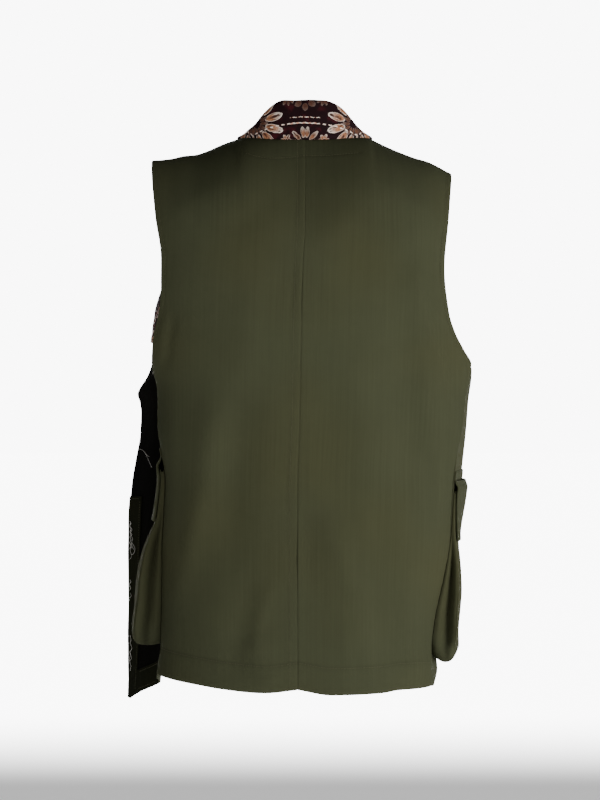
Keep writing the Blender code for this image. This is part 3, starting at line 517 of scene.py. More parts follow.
@dataclass
class WornForm:
    """The worn form of one side of the garment, as sheets of points."""

    side: Side
    back: ClothSheet = field(init=False)
    front: ClothSheet = field(init=False)

    def __post_init__(self) -> None:
        """Work out both sheets, and give them one normal where they meet."""
        shares = fine_shares()
        columns = fine_columns(0, BACK_EDGE)
        self.back = ClothSheet(self.back_points(shares, columns), shares, columns, -self.side.sign)
        columns = fine_columns(0, SIDE_COLUMNS, FRONT_EDGE)
        points = self.front_points(shares, columns)
        self.front = ClothSheet(points, shares, columns, -self.side.sign)
        below = shares <= 1.0
        shared = unit(self.back.normals[below, -1] + self.front.normals[below, 0])
        self.back.normals[below, -1] = shared
        self.front.normals[below, 0] = shared

    def tip(self) -> float:
        """Distance of the shoulder tip from the centre."""
        return SHOULDER[self.side][-1].at

    def back_points(self, shares: Array, columns: Array) -> Array:
        """Points of the back half, rows by columns."""
        rows = BACK_ROWS[self.side]
        tip = self.tip()
        neck = NECK_HALF_WIDTH / tip
        outer = neck + (1.0 - neck) * (columns - NECK_COLUMNS) / SHOULDER_COLUMNS
        top_share = np.where(columns <= NECK_COLUMNS, neck * columns / NECK_COLUMNS, outer)[None, :]
        width_share = (np.sin(columns / columns[-1] * np.pi / 2.0) ** COLUMN_CROWDING)[None, :]
        share = shares[:, None]
        top_x = top_share * tip
        neckline = -NECK_DROP * (1.0 - (top_x / NECK_HALF_WIDTH) ** 2)
        high = np.where(top_x <= NECK_HALF_WIDTH, neckline, Profile(SHOULDER[self.side])(top_x))
        low = Profile(HEM[self.side])(width_share * tip)
        armpit = UNDERARM_Z[self.side]
        underarm = armpit + (1.0 - width_share) * (UNDERARM_CENTRE - armpit)
        z = between(share, low, underarm, high)
        edge_z = between(share, rows[0].z, armpit, rows[-1].z)
        edge = named_column(rows, "z", "edge")(edge_z)
        figure = named_column(rows, "z", "figure")(edge_z)
        gather = ease((share - GATHER_FROM) / (2.0 - GATHER_FROM))
        reach = width_share + (top_share - width_share) * gather
        centre = Profile(CENTRE_SEAM)(z)
        x = centre + (self.side.sign * edge - centre) * reach
        across = np.minimum(np.abs(x) / figure, 1.0)
        y = Profile(BACK_DEPTH)(z) * (1.0 - across ** SECTION_POWER) ** (1.0 / SECTION_POWER)
        lean = ease(np.abs(x) / NECK_HALF_WIDTH)
        roll = ROLL_AT_NECK + (ROLL_AT_SHOULDER - ROLL_AT_NECK) * lean
        power = ROLL_POWER_NECK + (ROLL_POWER_SHOULDER - ROLL_POWER_NECK) * lean
        fall = np.clip((high - z) / roll, 0.0, 1.0)
        seam_y = neck_y(x)
        y = seam_y + (y - seam_y) * (1.0 - (1.0 - fall) ** power) ** (1.0 / power)
        folds = crease_height(FOLDS[self.side], np.abs(x), z)
        y = y + folds * (1.0 - 0.8 * across ** 4) * ease(fall * 2.0)
        return np.stack((x, y, z), axis=-1)

    def front_points(self, shares: Array, columns: Array) -> Array:
        """Points of the front from the side seam or armhole to the front edge."""
        rows = FRONT_ROWS[self.side]
        mirror = np.array((self.side.sign, 1.0, 1.0))
        back_edge = self.back.points[:, -1] * mirror
        armpit = UNDERARM_Z[self.side]
        side_z = between(shares, rows[0].side_z, armpit, rows[-1].side_z)
        read = {name: named_column(rows, "side_z", name)(side_z) for name in FrontRow._fields[1:]}
        corner = back_edge[SHARES_BELOW]
        armhole = (ArmholeRow(armpit, corner[0], corner[1]), *ARMHOLE_ROWS[self.side])
        round_hole = np.stack((named_column(armhole, "z", "x")(side_z),
                               named_column(armhole, "z", "y")(side_z), side_z), axis=-1)
        start = np.where((shares > 1.0)[:, None], round_hole, back_edge)
        seam = np.stack((read["seam_x"], read["seam_y"], read["seam_z"]), axis=-1)
        edge = np.stack((read["edge_x"], read["edge_y"], read["edge_z"]), axis=-1)
        fade = 0.3 + 0.7 * (1.0 - ease(shares - 1.0))
        first = self.swollen(start, seam, Profile(SIDE_SWELL[self.side])(side_z))
        second = self.swollen(seam, edge, FRONT_SWELL[self.side] * fade)
        stations = np.stack((start, first, seam, second, edge))
        side_at = 2.0 * columns / SIDE_COLUMNS
        front_at = 2.0 + 2.0 * (columns - SIDE_COLUMNS) / FRONT_COLUMNS
        at = np.where(columns <= SIDE_COLUMNS, side_at, front_at)
        grid = np.stack([through_stations(stations, place) for place in at], axis=1)
        x = np.clip(grid[-1, :, 0], NECK_HALF_WIDTH, self.tip())
        wanted = np.stack((x, np.zeros_like(x), Profile(SHOULDER[self.side])(x)), axis=-1)
        settle = ease(shares - 1.0)[:, None, None]
        return (grid + (wanted - grid[-1])[None] * settle) * mirror

    @staticmethod
    def swollen(a: Array, b: Array, swell: Array | float) -> Array:
        """Midpoints of two columns of points, pushed out of the body."""
        across = b - a
        outward = unit(np.stack((-across[:, 1], across[:, 0], np.zeros(len(a))), axis=-1))
        return (a + b) / 2.0 + outward * np.broadcast_to(swell, (len(a),))[:, None]


def through_stations(stations: Array, at: float) -> Array:
    """Catmull-Rom curve through a row's stations, at 0 for the first one."""
    i = int(np.clip(np.floor(at), 0, len(stations) - 2))
    t = at - i
    p1, p2 = stations[i], stations[i + 1]
    p0 = stations[i - 1] if i > 0 else 2.0 * p1 - p2
    p3 = stations[i + 2] if i + 2 < len(stations) else 2.0 * p2 - p1
    return 0.5 * (2.0 * p1 + (p2 - p0) * t + (2.0 * p0 - 5.0 * p1 + 4.0 * p2 - p3) * t ** 2
                  + (3.0 * p1 - p0 - 3.0 * p2 + p3) * t ** 3)


def refine(grid: Array, rows: int, columns: int) -> Array:
    """A finer grid through the same points.

    Args:
        grid: rows by columns of points.
        rows: how many steps take the place of one step between rows.
        columns: the same between columns.

    Returns:
        The fine grid.
    """
    fine_rows = np.linspace(0.0, len(grid) - 1.0, (len(grid) - 1) * rows + 1)
    grid = np.stack([through_stations(grid, at) for at in fine_rows])
    turned = grid.swapaxes(0, 1)
    fine = np.linspace(0.0, len(turned) - 1.0, (len(turned) - 1) * columns + 1)
    return np.stack([through_stations(turned, at) for at in fine]).swapaxes(0, 1)


class Wire:
    """A number or vector that flows from node to node, with the usual arithmetic."""

    def __init__(self, desk: "Desk", socket: bpy.types.NodeSocket) -> None:
        """Args:
            desk: lays out the nodes that the arithmetic needs.
            socket: the output that carries the value.
        """
        self.desk, self.socket = desk, socket

    def __add__(self, other: object) -> "Wire":
        """The sum."""
        return self.desk.math("ADD", self, other)

    def __sub__(self, other: object) -> "Wire":
        """The difference."""
        return self.desk.math("SUBTRACT", self, other)

    def __mul__(self, other: object) -> "Wire":
        """The product."""
        return self.desk.math("MULTIPLY", self, other)

    def __truediv__(self, other: object) -> "Wire":
        """The quotient."""
        return self.desk.math("DIVIDE", self, other)


class Desk:
    """Lays out the nodes of a finish or of the surroundings."""

    def __init__(self, tree: bpy.types.NodeTree) -> None:
        """Args:
            tree: where the nodes go.
        """
        self.tree = tree

    def plug(self, socket: bpy.types.NodeSocket, value: object) -> None:
        """Join a socket to a wire, or set its value."""
        if isinstance(value, Wire):
            self.tree.links.new(value.socket, socket)
        elif value is not None:
            socket.default_value = value

    def wire(self, kind: str, inputs: dict[str | int, object] | None = None, output: int | str = 0,
             **settings: object) -> Wire:
        """Add a node.

        Args:
            kind: the node's type.
            inputs: wires or values for its sockets.
            output: which of its outputs is wanted.
            settings: its own settings.

        Returns:
            The wire from that output.
        """
        made = self.tree.nodes.new(kind)
        for name, value in settings.items():
            setattr(made, name, value)
        for key, value in (inputs or {}).items():
            self.plug(made.inputs[key], value)
        return Wire(self, made.outputs[output])

    def math(self, operation: str, a: object, b: object = None, c: object = None) -> Wire:
        """One sum on numbers."""
        return self.wire("ShaderNodeMath", {0: a, 1: b, 2: c}, operation=operation)

    def split(self, vector: Wire) -> list[Wire]:
        """The three parts of a vector."""
        return [self.wire("ShaderNodeSeparateXYZ", {0: vector}, part) for part in range(3)]

    def ramp(self, value: object, low: float, high: float, start: float = 0.0, end: float = 1.0) -> Wire:
        """The start value below low, the end value above high, smooth between them."""
        inputs = {"Value": value, "From Min": low, "From Max": high, "To Min": start, "To Max": end}
        return self.wire("ShaderNodeMapRange", inputs, interpolation_type="SMOOTHSTEP")


class Bench(Desk):
    """Lays out the nodes of one cloth finish."""

    def __init__(self, name: str) -> None:
        """Args:
            name: the material's name.
        """
        self.material = bpy.data.materials.new(name)
        self.material.use_nodes = True
        super().__init__(self.material.node_tree)
        self.shader = self.tree.nodes["Principled BSDF"].inputs

    def field(self, name: str) -> Wire:
        """A number stored on the cloth's points."""
        return self.wire("ShaderNodeAttribute", output="Fac", attribute_name=name)

    def cloth(self) -> tuple[Wire, Wire]:
        """Where a point lies on the flat cloth: along the weft, and along the warp."""
        weft, warp, _ = self.split(self.wire("ShaderNodeAttribute", output="Vector", attribute_name="cloth"))
        return weft, warp

    def vector(self, x: object, y: object) -> Wire:
        """A flat vector from two numbers."""
        return self.wire("ShaderNodeCombineXYZ", {0: x, 1: y})

    def noise(self, vector: Wire, scale: float, detail: float = 2.0, roughness: float = 0.5) -> Wire:
        """Noise from 0 to 1 at a place."""
        inputs = {"Vector": vector, "Scale": scale, "Detail": detail, "Roughness": roughness}
        return self.wire("ShaderNodeTexNoise", inputs)

    def mix(self, share: object, a: object, b: object) -> Wire:
        """Two colours blended."""
        a, b = ((*colour, 1.0) if isinstance(colour, tuple) else colour for colour in (a, b))
        return self.wire("ShaderNodeMix", {0: share, 6: a, 7: b}, 2, data_type="RGBA")

    def scaled(self, colour: object, factor: Wire) -> Wire:
        """A colour made lighter or darker."""
        return self.wire("ShaderNodeVectorMath", {0: colour, "Scale": factor}, operation="SCALE")

    def bump(self, height: Wire, strength: float, distance: float, below: Wire | None = None) -> Wire:
        """Fine relief from a height."""
        inputs = {"Height": height, "Strength": strength, "Distance": distance, "Normal": below}
        return self.wire("ShaderNodeBump", inputs)

    def finish(self, **inputs: object) -> bpy.types.Material:
        """Join wires and set numbers that are the same all over, and hand over the material."""
        for name, value in inputs.items():
            self.plug(self.shader[name.replace("_", " ").title().replace("Ior", "IOR")], value)
        return self.material


@dataclass(frozen=True)
class Twill:
    """A plain twill: fine ribs along the warp, streaky yarns, with painted shade in its seams and folds."""

    name: str
    slot: str
    colour: tuple[float, float, float]
    rib_pitch: float = 0.9 * MM
    streak: float = 0.10
    cloud: float = 0.08
    band_pitch: float = 6.3 * MM
    band: float = 0.026
    seam_shade: float = 0.45
    worn: float = 0.05
    warmth: tuple[float, float, float] = (1.04, 0.99, 0.92)

    def material(self) -> bpy.types.Material:
        """The finish as nodes."""
        bench = Bench(self.name)
        weft, warp = bench.cloth()
        place = bench.vector(weft, warp)
        yarn = bench.noise(bench.vector(weft * 900.0, warp * 9.0), 1.0, 3.0, 0.6)
        wale = bench.noise(bench.vector(weft * 190.0, warp * 2.2), 1.0)
        cloud = bench.noise(place, 11.0, 3.0, 0.55)
        band = bench.math("SINE", weft * (TURN / self.band_pitch))
        shown = bench.ramp(bench.noise(place, 9.0, 1.0), 0.48, 0.70)
        worn = bench.field("edge") * bench.ramp(yarn, 0.35, 0.75)
        shade = yarn * (2.0 * self.streak) + (1.0 - self.streak)
        shade = shade + (wale - 0.5) * (1.2 * self.streak) + (cloud - 0.5) * (2.0 * self.cloud)
        shade = shade + band * shown * self.band + worn * (2.0 * self.worn)
        # Painted shade: darker by the seam field in seam grooves, stitch dimples and pocket folds, and by
        # the tone field.
        shade = shade * (bench.field("seam") * -self.seam_shade + 1.0) * (bench.field("tone") + 1.0)
        warm = tuple(part * more for part, more in zip(self.colour, self.warmth))
        tinted = bench.mix(bench.ramp(bench.noise(place, 5.0, 1.0), 0.35, 0.7), self.colour, warm)
        rib = bench.math("SINE", (weft + warp * 0.5) * (TURN / self.rib_pitch))
        relief = bench.bump(yarn, 0.35, 0.25 * MM, bench.bump(rib, 0.25, 0.12 * MM))
        return bench.finish(base_color=bench.scaled(tinted, shade), normal=relief, roughness=0.88,
                            specular_ior_level=0.02)


@dataclass(frozen=True)
class Thread:
    """Sewing thread: one colour, a little uneven along its length."""

    name: str
    slot: str
    colour: tuple[float, float, float]

    def material(self) -> bpy.types.Material:
        """The finish as nodes."""
        bench = Bench(self.name)
        place = bench.wire("ShaderNodeTexCoord", output="Object")
        shade = bench.noise(place, 900.0) * 0.5 + 0.75
        return bench.finish(base_color=bench.scaled(self.colour, shade), roughness=0.7,
                            specular_ior_level=0.2)


class Flower(NamedTuple):
    """A round of petals: its middle from the mirror line and from the outer edge, and the petals."""

    across: float
    up: float
    petals: int
    reach: float
    half_length: float
    half_width: float
    turn: float
    bright: float


class WovenLine(NamedTuple):
    """A pale line of floating weft: its height, its half width, and if it is dashed further out."""

    up: float
    half_width: float
    dashed: bool


FLOWERS = table(
    Flower, (0.001, -0.0045, 9, 0.0135, 0.0072, 0.0030, 1.45, 0.60),
    (0.0, 0.0530, 7, 0.0115, 0.0050, 0.0040, np.pi * 1.5, 0.10),
    (0.066, 0.0195, 11, 0.0265, 0.0125, 0.0053, np.pi + 0.24, 0.95),
    (0.066, 0.0195, 13, 0.0120, 0.0060, 0.0020, np.pi, 0.20),
    (0.024, -0.0010, 6, 0.0042, 0.0032, 0.0020, 1.1, 0.80),
    (0.024, 0.0530, 9, 0.0070, 0.0036, 0.0018, 0.3, 0.16))
WOVEN_LINES = table(WovenLine, (0.0206, 0.9 * MM, True), (0.0282, 0.6 * MM, False))
DASH_PITCH = 7.5 * MM


@dataclass(frozen=True)
class Brocade:
    """Woven brocade: a dark burgundy ground with gold and rose flowers, mirrored about a line."""

    name: str
    slot: str
    ground: tuple[float, float, float] = (0.012, 0.0022, 0.0035)
    wine: tuple[float, float, float] = (0.046, 0.0045, 0.0075)
    gold: tuple[float, float, float] = (0.50, 0.22, 0.11)
    cream: tuple[float, float, float] = (1.0, 0.86, 0.74)
    umber: tuple[float, float, float] = (0.060, 0.022, 0.016)
    rose: tuple[float, float, float] = (0.80, 0.42, 0.30)
    repeat: float = 0.142
    height: float = 0.058

    def petals(self, bench: Bench, across: Wire, up: Wire, flower: Flower) -> tuple[Wire, ...]:
        """A round of petals about a centre.

        Args:
            bench: the material's nodes.
            across: distance from the mirror line, in metres.
            up: distance from the outer edge, in metres.
            flower: the round.

        Returns:
            Where the petals are, how far along each a place lies, its distance from the midrib, and
            how near it lies to the petal's outline.
        """
        du, dv = across - flower.across, up - flower.up
        radius = bench.math("SQRT", du * du + dv * dv)
        angle = bench.math("ARCTAN2", dv, du) + (2.0 * TURN - flower.turn)
        folded = bench.math("PINGPONG", angle, np.pi / flower.petals)
        run = (radius * bench.math("COSINE", folded) - flower.reach) / flower.half_length
        wide = radius * bench.math("SINE", folded) / flower.half_width
        rim = run * run + wide * wide
        return bench.ramp(rim, 1.02, 0.86), run, wide + angle * 0.4, rim

    def material(self) -> bpy.types.Material:
        """The finish as nodes."""
        bench = Bench(self.name)
        weft, warp = bench.cloth()
        place = bench.vector(weft, warp)
        shift = (bench.noise(place, 260.0) - 0.5) * (2.6 * MM)
        across = bench.math("PINGPONG", weft + shift, self.repeat / 2.0)
        up = bench.math("WRAP", warp + shift, self.height, 0.0)
        threads = bench.noise(bench.vector(weft * 420.0, warp * 2400.0), 1.0)
        cross = bench.noise(bench.vector(weft * 1800.0, warp * 300.0), 1.0)
        cloud = bench.noise(place, 110.0)
        colour = bench.mix(bench.ramp(bench.noise(place, 60.0), 0.50, 0.68), self.ground, self.wine)
        gilded, glow = self.woven_lines(bench, across, up, weft)
        line, height = gilded, threads * 0.3
        for flower in FLOWERS:
            mask, run, wide, rim = self.petals(bench, across, up, flower)
            petal = bench.mix(bench.ramp(run + cloud * 2.0, 0.7, 2.1), self.gold, self.cream)
            vein = bench.math("SINE", cross * 2.5 + wide * 9.0)
            inner = bench.ramp(rim, 0.80, 0.55) * bench.ramp(cloud, 0.36, 0.60)
            petal = bench.mix(bench.ramp(vein, -0.5, 0.5) * inner, petal, self.umber)
            petal = bench.mix(bench.ramp(cross, 0.50, 0.66) * 0.55, petal, self.umber)
            petal = bench.mix(bench.ramp(rim, 0.60, 0.90) * 0.8, petal, self.cream)
            petal = bench.mix(1.0 - flower.bright, petal, self.umber)
            colour = bench.mix(mask, colour, petal)
            height = height + mask * 0.8
            gilded = bench.math("MAXIMUM", gilded, mask * flower.bright)
        colour = bench.scaled(bench.mix(line, colour, glow), threads * 0.8 + 0.6)
        relief = bench.bump(height, 0.6, 0.5 * MM, bench.bump(cross, 0.4, 0.3 * MM))
        return bench.finish(base_color=colour, metallic=gilded * 0.10, roughness=gilded * -0.20 + 0.72,
                            normal=relief, specular_ior_level=0.12)

    def woven_lines(self, bench: Bench, across: Wire, up: Wire, weft: Wire) -> tuple[Wire, Wire]:
        """Pale lines of floating weft, whole near the mirror line.

        Args:
            bench: the material's nodes.
            across: distance from the mirror line, in metres.
            up: distance from the outer edge, in metres.
            weft: distance along the cloth, in metres.

        Returns:
            Where the lines are, and their colour.
        """
        dash = bench.math("SINE", weft * (TURN / DASH_PITCH))
        whole = bench.ramp(across, 0.020, 0.017)
        bent = across * across * 3.2 + up
        masks = []
        for line in WOVEN_LINES:
            pattern = whole * bench.ramp(dash, -0.9, -0.5)
            if line.dashed:
                pattern = bench.math("MAXIMUM", whole, bench.ramp(dash, -0.35, 0.1))
            away = bench.math("ABSOLUTE", bent - line.up)
            masks.append(bench.ramp(away, line.half_width, line.half_width * 0.5) * pattern)
        return bench.math("MAXIMUM", *masks), bench.mix(bench.ramp(dash, -1.0, 1.0), self.rose, self.cream)


OLIVE = Twill("olive_twill", "olive_twill", (0.0610, 0.0658, 0.0362))
BLACK = Twill("black_cloth", "black_cloth", (0.0052, 0.0050, 0.0042), streak=0.12, cloud=0.2,
              worn=0.12)
BROCADE = Brocade("brocade_finish", "brocade")
TONAL_THREAD = Thread("tonal_thread", "olive_twill", (0.080, 0.078, 0.042))
DARK_THREAD = Thread("dark_thread", "black_cloth", (0.010, 0.010, 0.009))
WHITE_THREAD = Thread("white_thread", "thread", (0.62, 0.60, 0.55))
Finish = Twill | Thread | Brocade


def grid_faces(rows: int, columns: int, flip: bool) -> Array:
    """Quads of a grid of points, wound the other way if asked."""
    corner = (np.arange(rows - 1)[:, None] * columns + np.arange(columns - 1)[None, :]).ravel()
    order = (0, columns, columns + 1, 1) if flip else (0, 1, columns + 1, columns)
    return np.stack([corner + step for step in order], axis=1)


def quad_edges(faces: Array) -> Array:
    """Every edge of every face, in that face's direction."""
    return np.concatenate([np.stack((faces[:, k], faces[:, (k + 1) % 4]), axis=1) for k in range(4)])


def open_edges(faces: Array) -> Array:
    """Edges that only one face has, in that face's direction."""
    known = {(int(a), int(b)) for a, b in quad_edges(faces)}
    return np.array([(a, b) for a, b in known if (b, a) not in known])


def quad_facings(points: Array, faces: Array) -> Array:
    """A normal of each face, twice as long as its area."""
    corners = points[faces]
    return np.cross(corners[:, 2] - corners[:, 0], corners[:, 3] - corners[:, 1])


def point_normals(points: Array, faces: Array) -> Array:
    """Mean normal of the faces round each point."""
    facing = quad_facings(points, faces)
    normals = np.zeros_like(points)
    for k in range(4):
        np.add.at(normals, faces[:, k], facing)
    return unit(normals)


RIM_ROUNDNESS = 0.8


@dataclass
class Shell:
    """A closed cloth wall on both sides of a sheet of quads, with a rounded rim."""

    points: Array
    faces: Array
    fields: dict[str, Array]
    half: float
    inside: Array | float = 0.0

    def build(self) -> tuple[Array, Array, dict[str, Array]]:
        """The wall.

        Returns:
            Its points, its faces, and its fields.
        """
        points, count, rim = self.points, len(self.points), open_edges(self.faces)
        normals = point_normals(points, self.faces)
        inner = np.broadcast_to(self.half + self.inside, count)[:, None]
        run = points[rim[:, 1]] - points[rim[:, 0]]
        away = np.zeros_like(points)
        for end in rim.T:
            np.add.at(away, end, np.cross(run, normals[end]))
        on_rim = np.unique(rim)
        middle = points[on_rim] + normals[on_rim] * (self.half - inner[on_rim]) / 2.0
        middle = middle + unit(away[on_rim]) * (self.half + inner[on_rim]) * RIM_ROUNDNESS / 2.0
        skins = (points + normals * self.half, points - normals * inner, middle)
        number = np.zeros(count, int)
        number[on_rim] = 2 * count + np.arange(len(on_rim))
        first, second = rim[:, 0], rim[:, 1]
        upper = np.stack((second, first, number[first], number[second]), axis=1)
        lower = np.stack((number[second], number[first], first + count, second + count), axis=1)
        faces = np.concatenate((self.faces, self.faces[:, ::-1] + count, upper, lower))
        fields = {key: np.concatenate((value, value, value[on_rim])) for key, value in self.fields.items()}
        return np.concatenate(skins), faces, fields


def quad_area(points: Array, faces: Array) -> float:
    """Area of a sheet of quads."""
    return float(np.linalg.norm(quad_facings(points, faces), axis=1).sum() / 2.0)


class Cut(NamedTuple):
    """The flat size of a piece of cloth, in metres, how it is held, and what carries it."""

    width: float
    length: float
    area: float
    hold: Hold
    rests_on: tuple[str, ...]


class Atelier:
    """Keeps one material for each finish, and turns meshes into pieces of the object."""

    def __init__(self) -> None:
        """Start with no materials."""
        self.materials: dict[str, bpy.types.Material] = {}
        self.triangles = 0

    def cloth(self, finish: Finish) -> bpy.types.Material:
        """The finish's material, made once."""
        if finish.name not in self.materials:
            self.materials[finish.name] = finish.material()
        return self.materials[finish.name]

    def piece(self, name: str, points: Array, faces: Sequence[Sequence[int]], finish: Finish,
              fields: dict[str, Array] | None = None, replaces: Sequence[str] = (),
              sharp: float = 50.0) -> bpy.types.Object:
        """A named object that rides on the body.

        Args:
            name: the piece's name.
            points: its points.
            faces: point numbers of each face.
            finish: its cloth or thread.
            fields: numbers or vectors for each point, which the finish reads.
            replaces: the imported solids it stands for.
            sharp: the angle in degrees past which an edge isn't smoothed.

        Returns:
            The object.
        """
        mesh = bpy.data.meshes.new(name)
        mesh.from_pydata(np.asarray(points, float).tolist(), [], [list(map(int, face)) for face in faces])
        for key, values in (fields or {}).items():
            kind, part = ("FLOAT_VECTOR", "vector") if np.ndim(values) == 2 else ("FLOAT", "value")
            data = mesh.attributes.new(key, kind, "POINT").data
            data.foreach_set(part, np.asarray(values, np.float32).ravel())
        mesh.shade_smooth()
        mesh.set_sharp_from_angle(angle=np.radians(sharp))
        mesh.materials.append(self.cloth(finish))
        made = bpy.data.objects.new(name, mesh)
        bpy.context.scene.collection.objects.link(made)
        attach(made, "root")
        if replaces:
            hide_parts(*replaces)
        count = sum(len(face) - 2 for face in faces)
        self.triangles += count
        LOG.info("%s: %d triangles", name, count)
        return made

    def cloth_piece(self, name: str, node: str, finish: Finish, shell: Shell, cut: Cut) -> None:
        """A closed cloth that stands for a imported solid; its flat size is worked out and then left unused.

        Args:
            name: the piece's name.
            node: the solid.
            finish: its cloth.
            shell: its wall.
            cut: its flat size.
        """
        points, faces, fields = shell.build()
        made = self.piece(name, points, faces, finish, fields, (node,))
        width, length = round(float(cut.width), 3), round(float(cut.length), 3)
        area = float(np.clip(cut.area, 0.301 * width * length, 0.999 * width * length))
        list(cut.rests_on)


def cloth_fields(weft: Array, warp: Array, seam: Array, edge: Array,
                 tone: Array | float) -> dict[str, Array]:
    """The fields that a twill reads.

    Args:
        weft: each point's place across the flat cloth.
        warp: its place along it.
        seam: how much painted shade it gets, 0 to 1, deepest in seam grooves, stitch dimples and pocket
            folds.
        edge: how worn it is as an edge, 0 to 1.
        tone: painted shade, how much darker (below 0) or lighter it is.

    Returns:
        The fields by name, one value for each point.
    """
    return {"cloth": np.stack((weft, warp, np.zeros_like(weft)), axis=-1).reshape(-1, 3),
            "seam": np.clip(seam, 0.0, 1.0).ravel(), "edge": np.clip(edge, 0.0, 1.0).ravel(),
            "tone": np.broadcast_to(tone, weft.shape).ravel()}


class Border(Enum):
    """The four borders of a sheet."""

    FIRST = "first"
    LAST = "last"
    LOW = "low"
    TOP = "top"

    @property
    def sideways(self) -> bool:
        """Whether it is one of the first and last columns."""
        return self in (Border.FIRST, Border.LAST)


class StitchRing(NamedTuple):
    """A ring of a stitch: its place and girth as shares of the stitch's, and its height in millimetres."""

    along: float
    girth: float
    height: float


STITCH_RINGS = table(StitchRing, (-0.5, 0.35, -0.30), (-0.36, 1.0, 0.10), (0.36, 1.0, 0.10),
                     (0.5, 0.35, -0.30))
STITCH_PITCH = 3.6 * MM
STITCH_LENGTH = 2.7 * MM
STITCH_HALF_WIDTH = 0.26 * MM
STITCH_SIDES = 5
SEAM_HALF_WIDTH = 0.8 * MM
PUCKER_PITCH = 11.0 * MM


@dataclass(frozen=True)
class Turning:
    """An edge where the cloth is turned under and stitched down."""

    width: float
    bulk: float = 0.45 * MM
    dimple: float = 0.40 * MM
    pucker: float = 0.22 * MM

    def lift(self, distance: Array, along: Array) -> Array:
        """How far the outside stands out at distances from the edge."""
        inside = 1.0 - ease((distance - self.width + 1.0 * MM) / (2.0 * MM))
        pull = bell((distance - self.width) / (1.1 * MM))
        turn = TURN * along / PUCKER_PITCH
        ripple = np.sin(turn + 2.2 * np.sin(along * 41.0)) * (0.6 + 0.4 * np.sin(along * 23.0))
        near = bell((distance - self.width) / (0.35 * self.width + 3.0 * MM))
        return self.bulk * inside - self.dimple * pull + self.pucker * ripple * near

    def bulk_inside(self, distance: Array) -> Array:
        """How much thicker the inside is over the turned cloth."""
        return 0.8 * MM * (1.0 - ease((distance - self.width + 0.5 * MM) / (1.0 * MM)))


def seam_dip(distance: Array, depth: float = 0.25 * MM) -> Array:
    """The hollow that a seam pulls in."""
    return -depth * bell(distance / SEAM_HALF_WIDTH)


